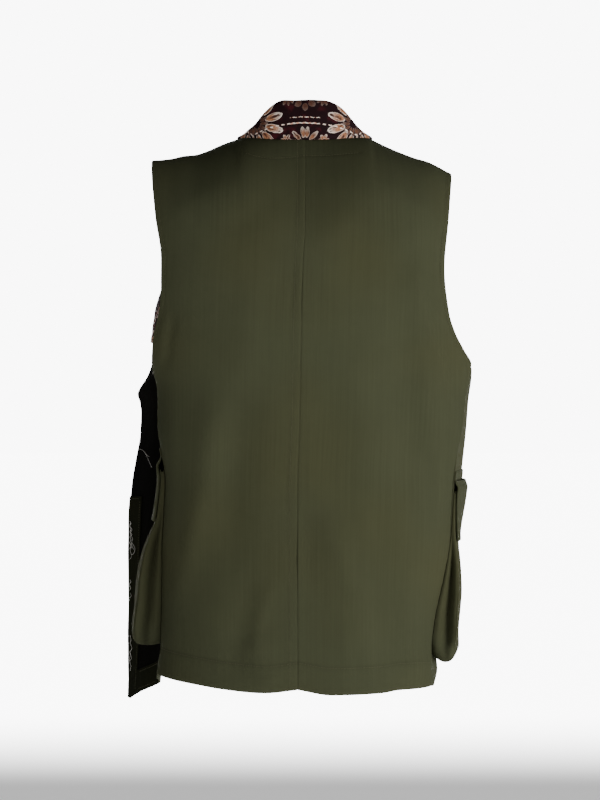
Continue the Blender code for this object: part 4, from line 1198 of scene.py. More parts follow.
@dataclass
class Panel:
    """One cut piece of cloth: a part of a worn sheet with its relief and the fields of its finish."""

    sheet: ClothSheet
    thickness: float
    lift: Array = field(init=False)
    inside: Array = field(init=False)
    seam: Array = field(init=False)
    edge: Array = field(init=False)
    tone: Array = field(init=False)
    borders: dict[Border, Array] = field(init=False)

    def __post_init__(self) -> None:
        """Start smooth, with the distances of every point from the four borders."""
        shape = self.sheet.points.shape[:2]
        self.lift, self.inside, self.seam, self.edge, self.tone = (np.zeros(shape) for _ in range(5))
        across, along = run_lengths(self.sheet.points, 1), run_lengths(self.sheet.points)
        self.borders = {Border.FIRST: across, Border.LAST: across[:, -1:] - across,
                        Border.LOW: along, Border.TOP: along[-1:] - along}

    def run_along(self, border: Border) -> Array:
        """Distance along a border's own direction."""
        return self.borders[Border.LOW if border.sideways else Border.FIRST]

    def turn_edge(self, border: Border, turning: Turning, where: Array | float = 1.0) -> None:
        """Turn a border under and stitch it, where a mask is 1."""
        distance = self.borders[border]
        self.lift += turning.lift(distance, self.run_along(border)) * where
        self.inside += turning.bulk_inside(distance) * where
        # Painted shade in the dimple along the stitching.
        self.seam += 0.35 * bell((distance - turning.width) / (0.9 * MM)) * where
        self.edge += bell(distance / (1.6 * MM)) * where

    def sew(self, border: Border, where: Array | float = 1.0, felled: float = 0.0) -> None:
        """Join a border to the next piece; a felled seam has its allowance stitched down beside it."""
        distance = self.borders[border]
        self.lift += seam_dip(distance) * where
        # Painted shade along the seam's groove.
        self.seam += 0.60 * bell(distance / (0.5 * MM)) * where
        ripple = np.sin(TURN * self.run_along(border) / (PUCKER_PITCH * 1.4) + 1.0)
        self.lift += 0.16 * MM * ripple * bell(distance / (8.0 * MM)) * where
        if felled > 0.0:
            raised = ease(distance / (2.0 * MM)) * (1.0 - ease((distance - felled + 1.0 * MM) / (2.0 * MM)))
            pull = bell((distance - felled) / (1.0 * MM))
            self.lift += (0.35 * raised - 0.35 * pull) * MM * where
            # Painted shade in the felled stitching's dimple.
            self.seam += 0.30 * pull * where

    def stitched_line(self, distance: Array) -> None:
        """Pull the cloth in along a row of stitches, from the distances to it."""
        self.lift -= 0.40 * MM * bell(distance / (1.1 * MM))
        # Painted shade in the stitch line's dimple.
        self.seam += 0.35 * bell(distance / (0.9 * MM))

    def lifted(self) -> ClothSheet:
        """The sheet with its relief."""
        return self.sheet.lifted(self.lift)

    def line_beside(self, border: Border, distance: float, low: float = 0.0,
                    high: float = 2.0) -> tuple[Array, Array]:
        """Points and normals along a border at a distance from it.

        Args:
            border: which border.
            distance: how far inside it.
            low: the first share (along a side) or column (along hem or top).
            high: the last one.

        Returns:
            Points on the cloth's outside, and its normals.
        """
        sheet, away = self.lifted(), self.borders[border]
        order = slice(None, None, -1) if border in (Border.LAST, Border.TOP) else slice(None)
        places = sheet.shares if border.sideways else sheet.columns
        steps = (sheet.columns if border.sideways else sheet.shares)[order]
        keep = (places >= low) & (places <= high)
        lines = away[keep] if border.sideways else away[:, keep].T
        found = np.array([np.interp(distance, line[order], steps) for line in lines])
        at = (places[keep], found) if border.sideways else (found, places[keep])
        points, normals = sheet.read(*at)
        return points + normals * self.thickness / 2.0, normals

    def build(self, atelier: Atelier, name: str, finish: Finish, node: str, weft_from: float,
              rests_on: str) -> None:
        """The closed cloth of the panel.

        Args:
            atelier: makes the piece.
            name: the piece's name.
            finish: its cloth.
            node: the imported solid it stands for.
            weft_from: how far the first column lies from where the weft is counted.
            rests_on: what carries it.
        """
        faces = grid_faces(*self.sheet.points.shape[:2], self.sheet.outward < 0.0)
        base, lifted = (sheet.points.reshape(-1, 3) for sheet in (self.sheet, self.lifted()))
        across, along = self.borders[Border.FIRST], self.borders[Border.LOW]
        fields = cloth_fields(weft_from + across, along, self.seam, self.edge, self.tone)
        shell = Shell(lifted, faces, fields, self.thickness / 2.0, self.inside.ravel())
        cut = Cut(across.max(), along.max(), quad_area(base, faces), Hold.HUNG, (rests_on,))
        atelier.cloth_piece(name, node, finish, shell, cut)


def ring_faces(rings: int, sides: int) -> list[list[int]]:
    """Faces of a closed round thread: its sides, ring after ring, then its two ends."""
    faces = [[ring * sides + k, ring * sides + (k + 1) % sides, (ring + 1) * sides + (k + 1) % sides,
              (ring + 1) * sides + k] for ring in range(rings - 1) for k in range(sides)]
    last = (rings - 1) * sides
    return [*faces, list(range(sides))[::-1], list(range(last, last + sides))]


class Sewing:
    """Rows of single stitches, joined into one piece for each part of the garment."""

    def __init__(self, name: str, finish: Thread) -> None:
        """Args:
            name: the piece's name.
            finish: its thread.
        """
        self.name, self.finish = name, finish
        self.lines: list[tuple[Array, Array]] = []

    def add(self, points: Array, normals: Array) -> None:
        """Add a line to sew along, on the cloth's outside."""
        self.lines.append((points, normals))

    def border(self, points: Array, normals: Array, inset: float, borders: Sequence[Border]) -> None:
        """Sew along some borders of a grid.

        Args:
            points: rows by columns of points on the cloth's outside.
            normals: their normals.
            inset: distance of the stitches from the border.
            borders: the borders to sew; LOW is the first row.
        """
        rows, columns = (np.arange(count, dtype=float) for count in points.shape[:2])
        panel = Panel(ClothSheet(points, rows, columns, 1.0, normals), 0.0)
        for border in borders:
            line, facing = panel.line_beside(border, inset, 0.0, (rows if border.sideways else columns)[-1])
            run = run_lengths(line)
            keep = (run > inset) & (run < run[-1] - inset)
            self.add(line[keep], facing[keep])

    @staticmethod
    def along(points: Array, normals: Array) -> tuple[Array, Array, Array]:
        """Middles, directions and normals of the stitches of a line."""
        length = run_lengths(points)
        middles = np.arange(STITCH_PITCH * 0.6, length[-1] - STITCH_PITCH * 0.4, STITCH_PITCH)

        def read(values: Array, at: Array) -> Array:
            """The line's values at distances along it."""
            return np.stack([np.interp(at, length, values[:, k]) for k in range(3)], axis=-1)

        ends = read(points, middles + STITCH_LENGTH / 2.0) - read(points, middles - STITCH_LENGTH / 2.0)
        return read(points, middles), unit(ends), unit(read(normals, middles))

    def build(self, atelier: Atelier) -> None:
        """All the stitches as one piece."""
        sets = [self.along(points, normals) for points, normals in self.lines]
        middle, run, normal = (np.concatenate([part[k] for part in sets]) for k in range(3))
        side = unit(np.cross(run, normal))
        rings = []
        for ring in STITCH_RINGS:
            for k in range(STITCH_SIDES):
                turn = k * TURN / STITCH_SIDES + np.pi / 2.0
                girth = ring.girth * STITCH_HALF_WIDTH
                rings.append(middle + run * ring.along * STITCH_LENGTH + side * np.cos(turn) * girth
                             + normal * (ring.height * MM + np.sin(turn) * girth))
        points = np.stack(rings, axis=1).reshape(-1, 3)
        faces = [[index + start for index in face] for start in range(0, len(points), len(rings))
                 for face in ring_faces(len(STITCH_RINGS), STITCH_SIDES)]
        atelier.piece(self.name, points, faces, self.finish, sharp=70.0)


# Scene-only creases of the back halves, by distance from the centre and height
BACK_CREASES = {
    Side.LEFT: in_mm(
        Crease, (168, -235, 179, -305, 7, -2), (180, -235, 189, -300, 6, 1.2),
        (114, -345, 136, -480, 18, 1.8), (136, -470, 166, -600, 15, 3), (166, -500, 182, -650, 11, -2),
        (70, -560, 92, -690, 14, -1.6), (45, -575, 66, -660, 10, 1.8), (24, -640, 16, -706, 9, 1),
        (95, -70, 165, -100, 16, 1.6), (30, -75, 100, -140, 20, -1.5), (60, -180, 85, -330, 22, 1.3)),
    Side.RIGHT: in_mm(
        Crease, (142, -190, 205, -400, 10, 2.4), (112, -160, 150, -330, 18, -1.6),
        (185, -400, 190, -520, 9, -1.5), (155, -410, 166, -560, 12, -1.6), (60, -300, 80, -430, 20, 1.3),
        (26, -490, 78, -625, 13, 2), (90, -470, 118, -600, 16, -1.6), (60, -640, 72, -706, 10, -1.2),
        (128, -590, 142, -705, 9, 1.5), (30, -85, 130, -120, 18, -1.7), (100, -60, 150, -105, 13, 1.2)),
}
NECK_LINE = {
    Side.LEFT: in_mm(
        Point, (0, -30), (20, -33), (45, -34.5), (62, -32), (78, -26.5)),
    Side.RIGHT: in_mm(
        Point, (0, -30), (25, -30.5), (45, -29), (60, -28), (72, -27)),
}
HEM_TURNING = Turning(width=33.0 * MM)
ARMHOLE_TURNING = Turning(width=7.0 * MM, bulk=0.35 * MM, pucker=0.15 * MM)
CENTRE_FELL = 10.0 * MM
DRIFT = 0.45 * MM


@dataclass
class BackHalf:
    """One half of the back: twill, centre seam, shoulder seam, armhole, hem and neck stitching."""

    form: WornForm
    panel: Panel = field(init=False)

    def __post_init__(self) -> None:
        """Work out the relief."""
        side = self.form.side
        sheet = self.form.back
        panel = Panel(sheet, CLOTH)
        x, z = np.abs(sheet.points[..., 0]), sheet.points[..., 2]
        panel.lift += crease_height(BACK_CREASES[side], x, z) * ease(panel.borders[Border.TOP] / 0.04)
        panel.lift += DRIFT * drift(x, z, 0.075, 3 if side is Side.LEFT else 4)
        share = sheet.shares[:, None]
        armhole = ease((share - 1.0) / 0.02)
        panel.sew(Border.FIRST, felled=CENTRE_FELL if side is Side.LEFT else 0.0)
        panel.sew(Border.LAST, 1.0 - armhole)
        panel.turn_edge(Border.LAST, ARMHOLE_TURNING, armhole)
        panel.sew(Border.TOP)
        panel.turn_edge(Border.LOW, HEM_TURNING)
        line = Profile(NECK_LINE[side])(x)
        inside = (x < NECK_LINE[side][-1].at).astype(float)
        panel.stitched_line(np.abs(z - line) + (1.0 - inside))
        # Painted shade: the upper back darker under the collar, and on the left half the flank darker
        # towards its edge below the armhole.
        panel.tone -= 0.27 * bell((z + 0.005) / 0.11) * ease((0.19 - x) / 0.12)
        if side is Side.LEFT:
            panel.tone -= 0.20 * ease((x - 0.160) / 0.025) * ease((-0.30 - z) / 0.05)
        self.panel = panel

    def build(self, atelier: Atelier, sewing: Sewing) -> None:
        """Make the cloth and add its stitch lines."""
        side = self.form.side
        panel = self.panel
        panel.build(atelier, f"back_cloth_{side.value}", OLIVE, f"back_{side.value}", 0.0, "shawl_collar")
        sewing.add(*panel.line_beside(Border.LOW, HEM_TURNING.width, 0.0, BACK_EDGE))
        sewing.add(*panel.line_beside(Border.LAST, ARMHOLE_TURNING.width, 1.03, 1.98))
        sewing.add(*self.neck_line())
        if side is Side.LEFT:
            sewing.add(*panel.line_beside(Border.FIRST, CENTRE_FELL, 0.0, 1.985))

    def neck_line(self) -> tuple[Array, Array]:
        """Points and normals of the stitching below the neck."""
        sheet = self.panel.lifted()
        wanted = Profile(NECK_LINE[self.form.side])
        points, normals = [], []
        for column in fine_columns(0, NECK_COLUMNS + 1):
            line, facing = sheet.read(sheet.shares, column)
            gap = line[:, 2] - wanted(np.abs(line[:, 0]))
            share = np.interp(0.0, gap[-60:], np.arange(len(gap))[-60:])
            k = int(share)
            points.append(line[k] + (line[min(k + 1, len(line) - 1)] - line[k]) * (share - k))
            normals.append(facing[k])
        found = np.array(points)
        keep = np.abs(found[:, 0]) < NECK_LINE[self.form.side][-1].at
        facing = np.array(normals)[keep]
        return found[keep] + facing * CLOTH / 2.0, facing


# Scene-only creases of the fronts, by distance from the side seam and height
FRONT_CREASES = {
    Side.LEFT: in_mm(
        Crease, (60, -250, 120, -330, 12, 1.4), (40, -310, 110, -390, 12, -1.1),
        (150, -360, 172, -700, 13, 1.6), (215, -380, 222, -560, 10, 1), (205, -560, 232, -730, 12, -1.4),
        (130, -100, 170, -200, 12, 1), (90, -680, 110, -730, 14, 1.2)),
    Side.RIGHT: in_mm(
        Crease, (50, -270, 115, -340, 12, 1.4), (120, -300, 190, -400, 13, -1.2),
        (188, -380, 182, -720, 13, 1.5), (225, -420, 218, -640, 12, 1.3), (250, -500, 246, -740, 10, -1.1),
        (110, -120, 150, -210, 12, 1), (70, -690, 90, -740, 14, 1.2)),
}
FRONT_HEM_TURNING = Turning(width=25.0 * MM)
FRONT_EDGE_TURNING = Turning(width=6.0 * MM, bulk=0.3 * MM, pucker=0.25 * MM)
PANEL_FELL = 6.0 * MM


@dataclass
class Front:
    """One front: the olive side front with its armhole, and the black centre front."""

    form: WornForm
    side_panel: Panel = field(init=False)
    centre_panel: Panel = field(init=False)
    ground: ClothSheet = field(init=False)

    def __post_init__(self) -> None:
        """Work out the relief of the whole front, then part it at the panel seam."""
        side, sheet = self.form.side, self.form.front
        across, z = run_lengths(sheet.points, 1), sheet.points[..., 2]
        creases = crease_height(FRONT_CREASES[side], across, z)
        whole = creases + DRIFT * drift(across, z, 0.07, 5 if side is Side.LEFT else 6)
        whole = whole * ease((2.0 - sheet.shares[:, None]) / 0.15)
        split = int(np.searchsorted(sheet.columns, SIDE_COLUMNS))
        parts = slice(0, split + 1), slice(split, None)
        self.side_panel, self.centre_panel = (Panel(sheet.part(part), CLOTH) for part in parts)
        for panel, part in zip((self.side_panel, self.centre_panel), parts):
            panel.lift += whole[:, part]
        armhole = ease((sheet.shares[:, None] - 1.0) / 0.02)
        self.side_panel.sew(Border.FIRST, 1.0 - armhole)
        self.side_panel.turn_edge(Border.FIRST, ARMHOLE_TURNING, armhole)
        self.side_panel.sew(Border.LAST, felled=PANEL_FELL)
        self.centre_panel.sew(Border.FIRST)
        self.centre_panel.turn_edge(Border.LAST, FRONT_EDGE_TURNING)
        for panel in (self.side_panel, self.centre_panel):
            panel.sew(Border.TOP)
            panel.turn_edge(Border.LOW, FRONT_HEM_TURNING)
        lift = np.concatenate((self.side_panel.lift, self.centre_panel.lift[:, 1:]), axis=1)
        self.ground = sheet.lifted(lift)

    def build(self, atelier: Atelier, olive: Sewing, dark: Sewing) -> None:
        """Make both cloths and add their stitch lines."""
        side, panel = self.form.side.value, self.side_panel
        panel.build(atelier, f"side_front_cloth_{side}", OLIVE, f"side_front_{side}", 0.0,
                    f"back_cloth_{side}")
        width = float(panel.borders[Border.FIRST][0, -1])
        self.centre_panel.build(atelier, f"front_cloth_{side}", BLACK, f"front_{side}", width,
                                f"side_front_cloth_{side}")
        olive.add(*panel.line_beside(Border.FIRST, ARMHOLE_TURNING.width, 1.03, 1.98))
        olive.add(*panel.line_beside(Border.LAST, PANEL_FELL, 0.0, 1.98))
        olive.add(*panel.line_beside(Border.LOW, FRONT_HEM_TURNING.width, 0.0, SIDE_COLUMNS))
        dark.add(*self.centre_panel.line_beside(Border.LAST, FRONT_EDGE_TURNING.width, 0.02, 0.98))


def relax(points: Array, faces: Array, share: Array, rounds: int) -> Array:
    """Soften creased places by drawing points towards their neighbours.

    Args:
        points: the points of a sheet of quads.
        faces: its quads.
        share: how freely each point moves, 0 to 1.
        rounds: how often.

    Returns:
        The softened points.
    """
    first, second = quad_edges(faces).T
    count = np.bincount(np.concatenate((first, second)), minlength=len(points))
    for _ in range(rounds):
        total = np.zeros_like(points)
        np.add.at(total, first, points[second])
        np.add.at(total, second, points[first])
        points = points + (total / count[:, None] - points) * share[:, None] * 0.6
    return points


@dataclass
class Lay:
    """A small olive piece that lies on a front: a grid of places with a height above the cloth."""

    ground: ClothSheet
    shares: Array
    columns: Array
    off: Array | float
    thickness: float = CLOTH
    tone: float = 0.0

    def build(self, atelier: Atelier, sewing: Sewing, name: str, node: str, hold: Hold, rests_on: str,
              inset: float, borders: Sequence[Border], hemmed: bool = True) -> None:
        """The closed cloth with its edge stitching.

        Args:
            atelier: makes the piece.
            sewing: takes the stitches.
            name: the piece's name.
            node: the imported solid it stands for.
            hold: how it is held.
            rests_on: the piece that carries it.
            inset: distance of its edge stitching, which pulls the cloth in.
            borders: the borders with stitches.
            hemmed: whether the edge is thicker than the middle.
        """
        points = self.ground.place(self.shares, self.columns, self.off)
        _, normals = self.ground.read(self.shares, self.columns)
        across, along = run_lengths(points, 1), run_lengths(points)
        edge = np.minimum(np.minimum(across, across[:, -1:] - across),
                          np.minimum(along, along[-1:] - along))
        lift = -0.35 * MM * bell((edge - inset) / (1.0 * MM))
        if hemmed:
            lift += 0.3 * MM * (1.0 - ease((edge - inset) / (1.5 * MM)))
        points = points + normals * lift[..., None]
        faces = grid_faces(*edge.shape, self.ground.outward < 0.0)
        flat = points.reshape(-1, 3)
        facing = point_normals(flat, faces)
        if np.sum(facing * normals.reshape(-1, 3)) < 0.0:
            faces, facing = faces[:, ::-1], -facing
        # Painted shade in the dimple of the edge stitching.
        seam = 0.4 * bell((edge - inset) / (0.8 * MM))
        fields = cloth_fields(across, along, seam, bell(edge / (1.4 * MM)), self.tone)
        cut = Cut(across.max(), along.max(), quad_area(flat, faces), hold, (rests_on,))
        atelier.cloth_piece(name, node, OLIVE, Shell(flat, faces, fields, self.thickness / 2.0), cut)
        facing = facing.reshape(points.shape)
        sewing.border(points + facing * self.thickness / 2.0, facing, inset, borders)


@dataclass
class Trims:
    """The olive hem band and edge strip sewn on a black centre front."""

    front: Front
    # Painted shade: the hem band and edge strip are darkened strongly, standing for the shade they lie in.
    tone: float = -0.80
    stitch_inset: float = 3.0 * MM
    band_rows: int = 14
    band_columns: int = 30
    strip_rows: int = 110
    strip_columns: int = 12

    def build(self, atelier: Atelier, sewing: Sewing) -> None:
        """Make both and sew their edges."""
        ground = self.front.ground
        gap = float(ground.column_from_edge(0.0, EDGE_STRIP_WIDTH + EDGE_GAP))
        columns = np.linspace(SIDE_COLUMNS + BAND_INSET, gap, self.band_columns)
        hem = ground.read(0.0, columns)[0][:, 2]
        low, top = ground.shares_at(columns[None, :], np.stack((hem + EDGE_GAP, hem + HEM_BAND_HEIGHT)))
        shares = low + (top - low) * np.linspace(0.0, 1.0, self.band_rows)[:, None]
        self.lay(atelier, sewing, "hem_band", shares, columns, (Border.TOP, Border.LOW))
        start = float(ground.column_from_edge(0.0, EDGE_STRIP_WIDTH))
        foot = ground.share_at(FRONT_EDGE, ground.read(0.0, FRONT_EDGE)[0][2] + EDGE_GAP)
        shares = np.linspace(foot, ground.share_at(FRONT_EDGE, EDGE_STRIP_TOP), self.strip_rows)[:, None]
        columns = np.linspace(start, FRONT_EDGE - STRIP_INSET, self.strip_columns)
        self.lay(atelier, sewing, "edge_strip", shares, columns, (Border.FIRST, Border.LAST, Border.TOP))

    def lay(self, atelier: Atelier, sewing: Sewing, name: str, shares: Array, columns: Array,
            borders: Sequence[Border]) -> None:
        """Lay one of them on the cloth.

        Args:
            atelier: makes the piece.
            sewing: takes the stitches.
            name: the piece's name without its side.
            shares: the row share of each place.
            columns: the column place of each place.
            borders: the borders with stitches.
        """
        side = self.front.form.side.value
        shares, columns = np.broadcast_arrays(shares, columns)
        lay = Lay(self.front.ground, shares, columns, CLOTH + LAY_CLEAR, tone=self.tone)
        lay.build(atelier, sewing, f"{name}_{side}", f"front_{name}_{side}", Hold.LAID,
                  f"front_cloth_{side}", self.stitch_inset, borders)


# How the bellows fold of each pocket runs: by height, where its valley lies between the face's
# edge (0) and the panel (1), and how deep it is
FLAP_PRESS = 2.5 * MM
RIM_WORN = 0.12
TOE_RISE = {Side.LEFT: 2.0 * MM, Side.RIGHT: 10.0 * MM}
TOE_SAG = {Side.LEFT: 3.0 * MM, Side.RIGHT: 12.0 * MM}
VALLEY_PLACE = {
    Side.LEFT: table(Point, (-0.665, 0.40), (-0.620, 0.52), (-0.560, 0.60), (-0.500, 0.72)),
    Side.RIGHT: table(Point, (-0.685, 0.26), (-0.655, 0.36), (-0.600, 0.46), (-0.560, 0.52),
                      (-0.510, 0.80)),
}
VALLEY_DEPTH = {
    Side.LEFT: in_mm(
        Point, (-665, 3.5), (-610, 7), (-550, 8), (-500, 4), (-470, 0)),
    Side.RIGHT: in_mm(
        Point, (-685, 0.5), (-672, 3), (-655, 8), (-610, 12), (-560, 10.5), (-520, 4), (-490, 0)),
}
# Creases of a pouch's face, in shares of its width and height
POUCH_CREASES = table(
    Crease, (0.10, 0.30, 0.42, 0.72, 0.060, 1.3 * MM), (0.92, 0.26, 0.66, 0.66, 0.055, 1.1 * MM),
    (0.50, 0.34, 0.47, 0.95, 0.070, -0.9 * MM), (0.20, 0.62, 0.16, 0.94, 0.050, -1.0 * MM),
    (0.80, 0.58, 0.86, 0.96, 0.050, -1.1 * MM))
# The pouch's cut, by which its weave is counted
POUCH_WEFT = 0.168
POUCH_WARP = 0.23
FOLD_STEP = 0.002


@dataclass
class BellowsPocket:
    """A cargo pocket: pouch with a folded gusset, flap over it, and a band above."""

    front: Front
    rows: int = 46
    columns: int = 34
    steps: int = 18
    ridge: float = 1.8 * MM
    # Painted shade: the pouch a little darker, and the flap by half as much.
    tone: float = -0.04

    def pouch_place(self, u: float, v: float) -> tuple[float, float, float]:
        """Share, column and height of a pouch point, with rounded lower corners."""
        side = self.front.form.side
        corner = POUCH_CORNER
        if v > 1.0 - corner and (u < corner or u > 1.0 - corner):
            centre_u = corner if u < 0.5 else 1.0 - corner
            du, dv = (u - centre_u) / corner, (v - (1.0 - corner)) / corner
            length = np.hypot(du, dv)
            if length > 0.0:
                reach = max(abs(du), abs(dv)) / length * corner
                u, v = centre_u + du * reach, 1.0 - corner + dv * reach
        column = (POCKET_REAR + (POCKET_FRONT - POCKET_REAR) * u) * SIDE_COLUMNS
        height = POUCH_TOP[side] + (POUCH_FOOT[side] + TOE_RISE[side] - POUCH_TOP[side]) * v
        sheet = self.front.form.front
        slope = POCKET_SLOPE * (sheet.read(0.0, column)[0][2] - sheet.read(0.0, 0.0)[0][2])
        return sheet.share_at(column, height + slope * v), column, height

    def build(self, atelier: Atelier, sewing: Sewing) -> None:
        """Make the pouch, the flap and the band, and sew them."""
        self.build_pouch(atelier, sewing)
        self.build_flap(atelier, sewing)

    def build_pouch(self, atelier: Atelier, sewing: Sewing) -> None:
        """The face, then a strip for each gusset step from its border down to the panel."""
        side, ground = self.front.form.side, self.front.ground
        base = CLOTH + 0.15 * MM
        ups, acrosses = self.rows + 1, self.columns + 1
        v, u = np.meshgrid(np.linspace(0, 1, ups), np.linspace(0, 1, acrosses), indexing="ij")
        places = np.array([self.pouch_place(b, a) for a, b in zip(v.ravel(), u.ravel())])
        share, column, height = (places[:, k].reshape(u.shape) for k in range(3))
        depth = self.worn_depth(height)
        swell = POUCH_SWELL * np.sin(np.pi * u) * ease(v * 1.6)
        rumple = crease_height(POUCH_CREASES, u, v) + 0.5 * MM * drift(u * 0.17, v * 0.23, 0.05, 9)
        rumple = rumple * ease(depth / 0.02)
        face = ground.place(share, column, base + depth + swell + rumple)
        border = [(a, 0) for a in range(ups)] + [(ups - 1, b) for b in range(1, acrosses)]
        border += [(a, acrosses - 1) for a in range(ups - 2, -1, -1)]
        rim = tuple(np.array(border).T)
        centre = (ups // 2, acrosses // 2)
        _, facing = ground.read(share[rim], column[rim])
        inward = unit(np.cross(facing, np.gradient(face[rim], axis=0)))
        away = np.sum(inward * (face[centre] - face[rim]), axis=1)
        inward = inward * np.sign(np.median(np.sign(away)))
        valley, deep = Profile(VALLEY_PLACE[side])(height[rim]), Profile(VALLEY_DEPTH[side])(height[rim])
        reach = (depth + rumple)[rim]
        toe = np.clip(inward[:, 2], 0.0, 1.0) ** 1.5
        points = [face.reshape(-1, 3)]
        for t in np.arange(1, self.steps + 1) / self.steps:
            here = ground.place(share[rim], column[rim], base + reach * (1.0 - t))
            fold = deep * bell((t - valley) / 0.20) - self.ridge * bell((t - 0.84) / 0.12) * (deep > 0.0)
            fold = fold - 0.6 * self.ridge * bell((t - 0.12) / 0.12)
            fold = fold * ease((1.0 - t) / 0.16) * ease(reach / 0.02) * (1.0 - toe)
            fold = fold - TOE_SAG[side] * np.sin(np.pi * t ** 0.8) ** 0.7 * toe
            points.append(here + inward * fold[:, None])
        points = np.concatenate(points)
        start = u.size
        strips = start + np.arange(self.steps * len(border)).reshape(self.steps, -1)
        rings = [np.ravel_multi_index(rim, u.shape), *strips]
        faces = [grid_faces(ups, acrosses, False)]
        for upper, lower in zip(rings[:-1], rings[1:]):
            faces.append(np.stack((upper[1:], upper[:-1], lower[:-1], lower[1:]), axis=1))
        faces = np.concatenate(faces)
        out = ground.read(share[centre], column[centre])[1]
        if point_normals(points, faces)[np.ravel_multi_index(centre, u.shape)] @ out < 0.0:
            faces = faces[:, ::-1]
        free = np.ones(len(points))
        free[rings[-1]] = 0.0
        free[:acrosses * 2] = 0.0
        points = relax(points, faces, free, 3)
        normals = point_normals(points, faces)
        step = np.arange(self.steps)[:, None]
        weft = np.concatenate(((u * POUCH_WEFT).ravel(), (u[rim] * POUCH_WEFT + FOLD_STEP * step).ravel()))
        warp = np.concatenate(((v * POUCH_WARP).ravel(), (v[rim] * POUCH_WARP + FOLD_STEP * step).ravel()))
        t = (step + 1) / self.steps
        # Painted shade: darkest in the bellows fold's valley and along the gusset's foot on the panel, kept
        # in the seam field.
        low = 0.95 * bell((t - valley) / 0.14) * ease(deep / 0.006) + 0.6 * bell((1.0 - t) / 0.06)
        seam, worn = np.zeros(len(points)), np.zeros(len(points))
        seam[start:] = low.ravel()
        worn[rings[0]] = RIM_WORN
        fields = cloth_fields(weft, -warp, seam, worn, self.tone)
        shell = Shell(points, faces, fields, CLOTH / 2.0)
        width = run_lengths(face[centre[0]])[-1] + 2.0 * reach.max()
        length = run_lengths(face[:, centre[1]])[-1] + reach.max()
        name = side.value
        cut = Cut(width, length, quad_area(points, faces), Hold.FOLDED, (f"side_front_cloth_{name}",))
        atelier.cloth_piece(f"pocket_pouch_cloth_{name}", f"pocket_pouch_{name}", OLIVE, shell, cut)
        top, facing = (values[:start].reshape(face.shape) for values in (points, normals))
        sewing.border((top + facing * CLOTH / 2.0)[4:], facing[4:], 3.0 * MM,
                      (Border.FIRST, Border.LAST, Border.TOP))

    def worn_depth(self, height: Array | float) -> Array:
        """How far the pouch stands out at a height, pressed flatter below the right flap."""
        side = self.front.form.side
        depth = Profile(POUCH_DEPTH[side])(height)
        if side is Side.LEFT:
            return depth
        return depth - FLAP_PRESS * (1.0 - ease((depth - 0.004) / 0.008))

    def build_flap(self, atelier: Atelier, sewing: Sewing) -> None:
        """The flap from its seam down over the pouch, and the band that covers the seam."""
        side, ground = self.front.form.side, self.front.ground
        name, carrier = side.value, f"side_front_cloth_{side.value}"
        flap_top, pouch_top = FLAP_TOP[side], POUCH_TOP[side]
        down, u = np.meshgrid(np.linspace(0, 1, 26), np.linspace(0, 1, 46), indexing="ij")
        wide = POCKET_FRONT - POCKET_REAR + 2.0 * FLAP_OVERHANG
        column = (POCKET_REAR - FLAP_OVERHANG + wide * u) * SIDE_COLUMNS
        height = flap_top - FLAP_LENGTH[side] * down
        shallow = float(self.worn_depth(pouch_top))
        depth = np.where(height < pouch_top, self.worn_depth(height), shallow)
        over = ease((flap_top - height) / (0.6 * (flap_top - pouch_top) + 0.001))
        reach = LAY_GAP + CLOTH / 2.0 + FLAP_CLOTH / 2.0
        reach = reach + over * (np.maximum(depth, shallow) + CLOTH / 2.0 + FLAP_CLEAR)
        swell = FLAP_SWELL * np.sin(np.pi * u) * (1.0 - down if side is Side.RIGHT else down)
        wave = 0.8 * MM * np.sin(u * 9.0 + 0.6) * down ** 2 - 1.2 * MM * bell(u / 0.10) * ease(down * 3.0)
        share = ground.shares_at(column, height)
        lay = Lay(ground, share, column, reach + swell + wave, FLAP_CLOTH, 0.5 * self.tone)
        lay.build(atelier, sewing, f"pocket_flap_cloth_{name}", f"pocket_flap_{name}", Hold.HUNG, carrier,
                  6.0 * MM, (Border.FIRST, Border.LAST, Border.TOP))
        foot = flap_top + BAND_CLEAR
        columns = np.linspace(STRIP_INSET, POCKET_FRONT * SIDE_COLUMNS, 46)
        heights = np.linspace(foot, foot + POCKET_BAND_HEIGHT, 7)[:, None]
        share = ground.shares_at(columns, heights)
        lay = Lay(ground, share, np.broadcast_to(columns, share.shape), CLOTH + LAY_CLEAR)
        lay.build(atelier, sewing, f"pocket_band_cloth_{name}", f"pocket_band_{name}", Hold.LAID, carrier,
                  2.0 * MM, (Border.LOW, Border.TOP), False)


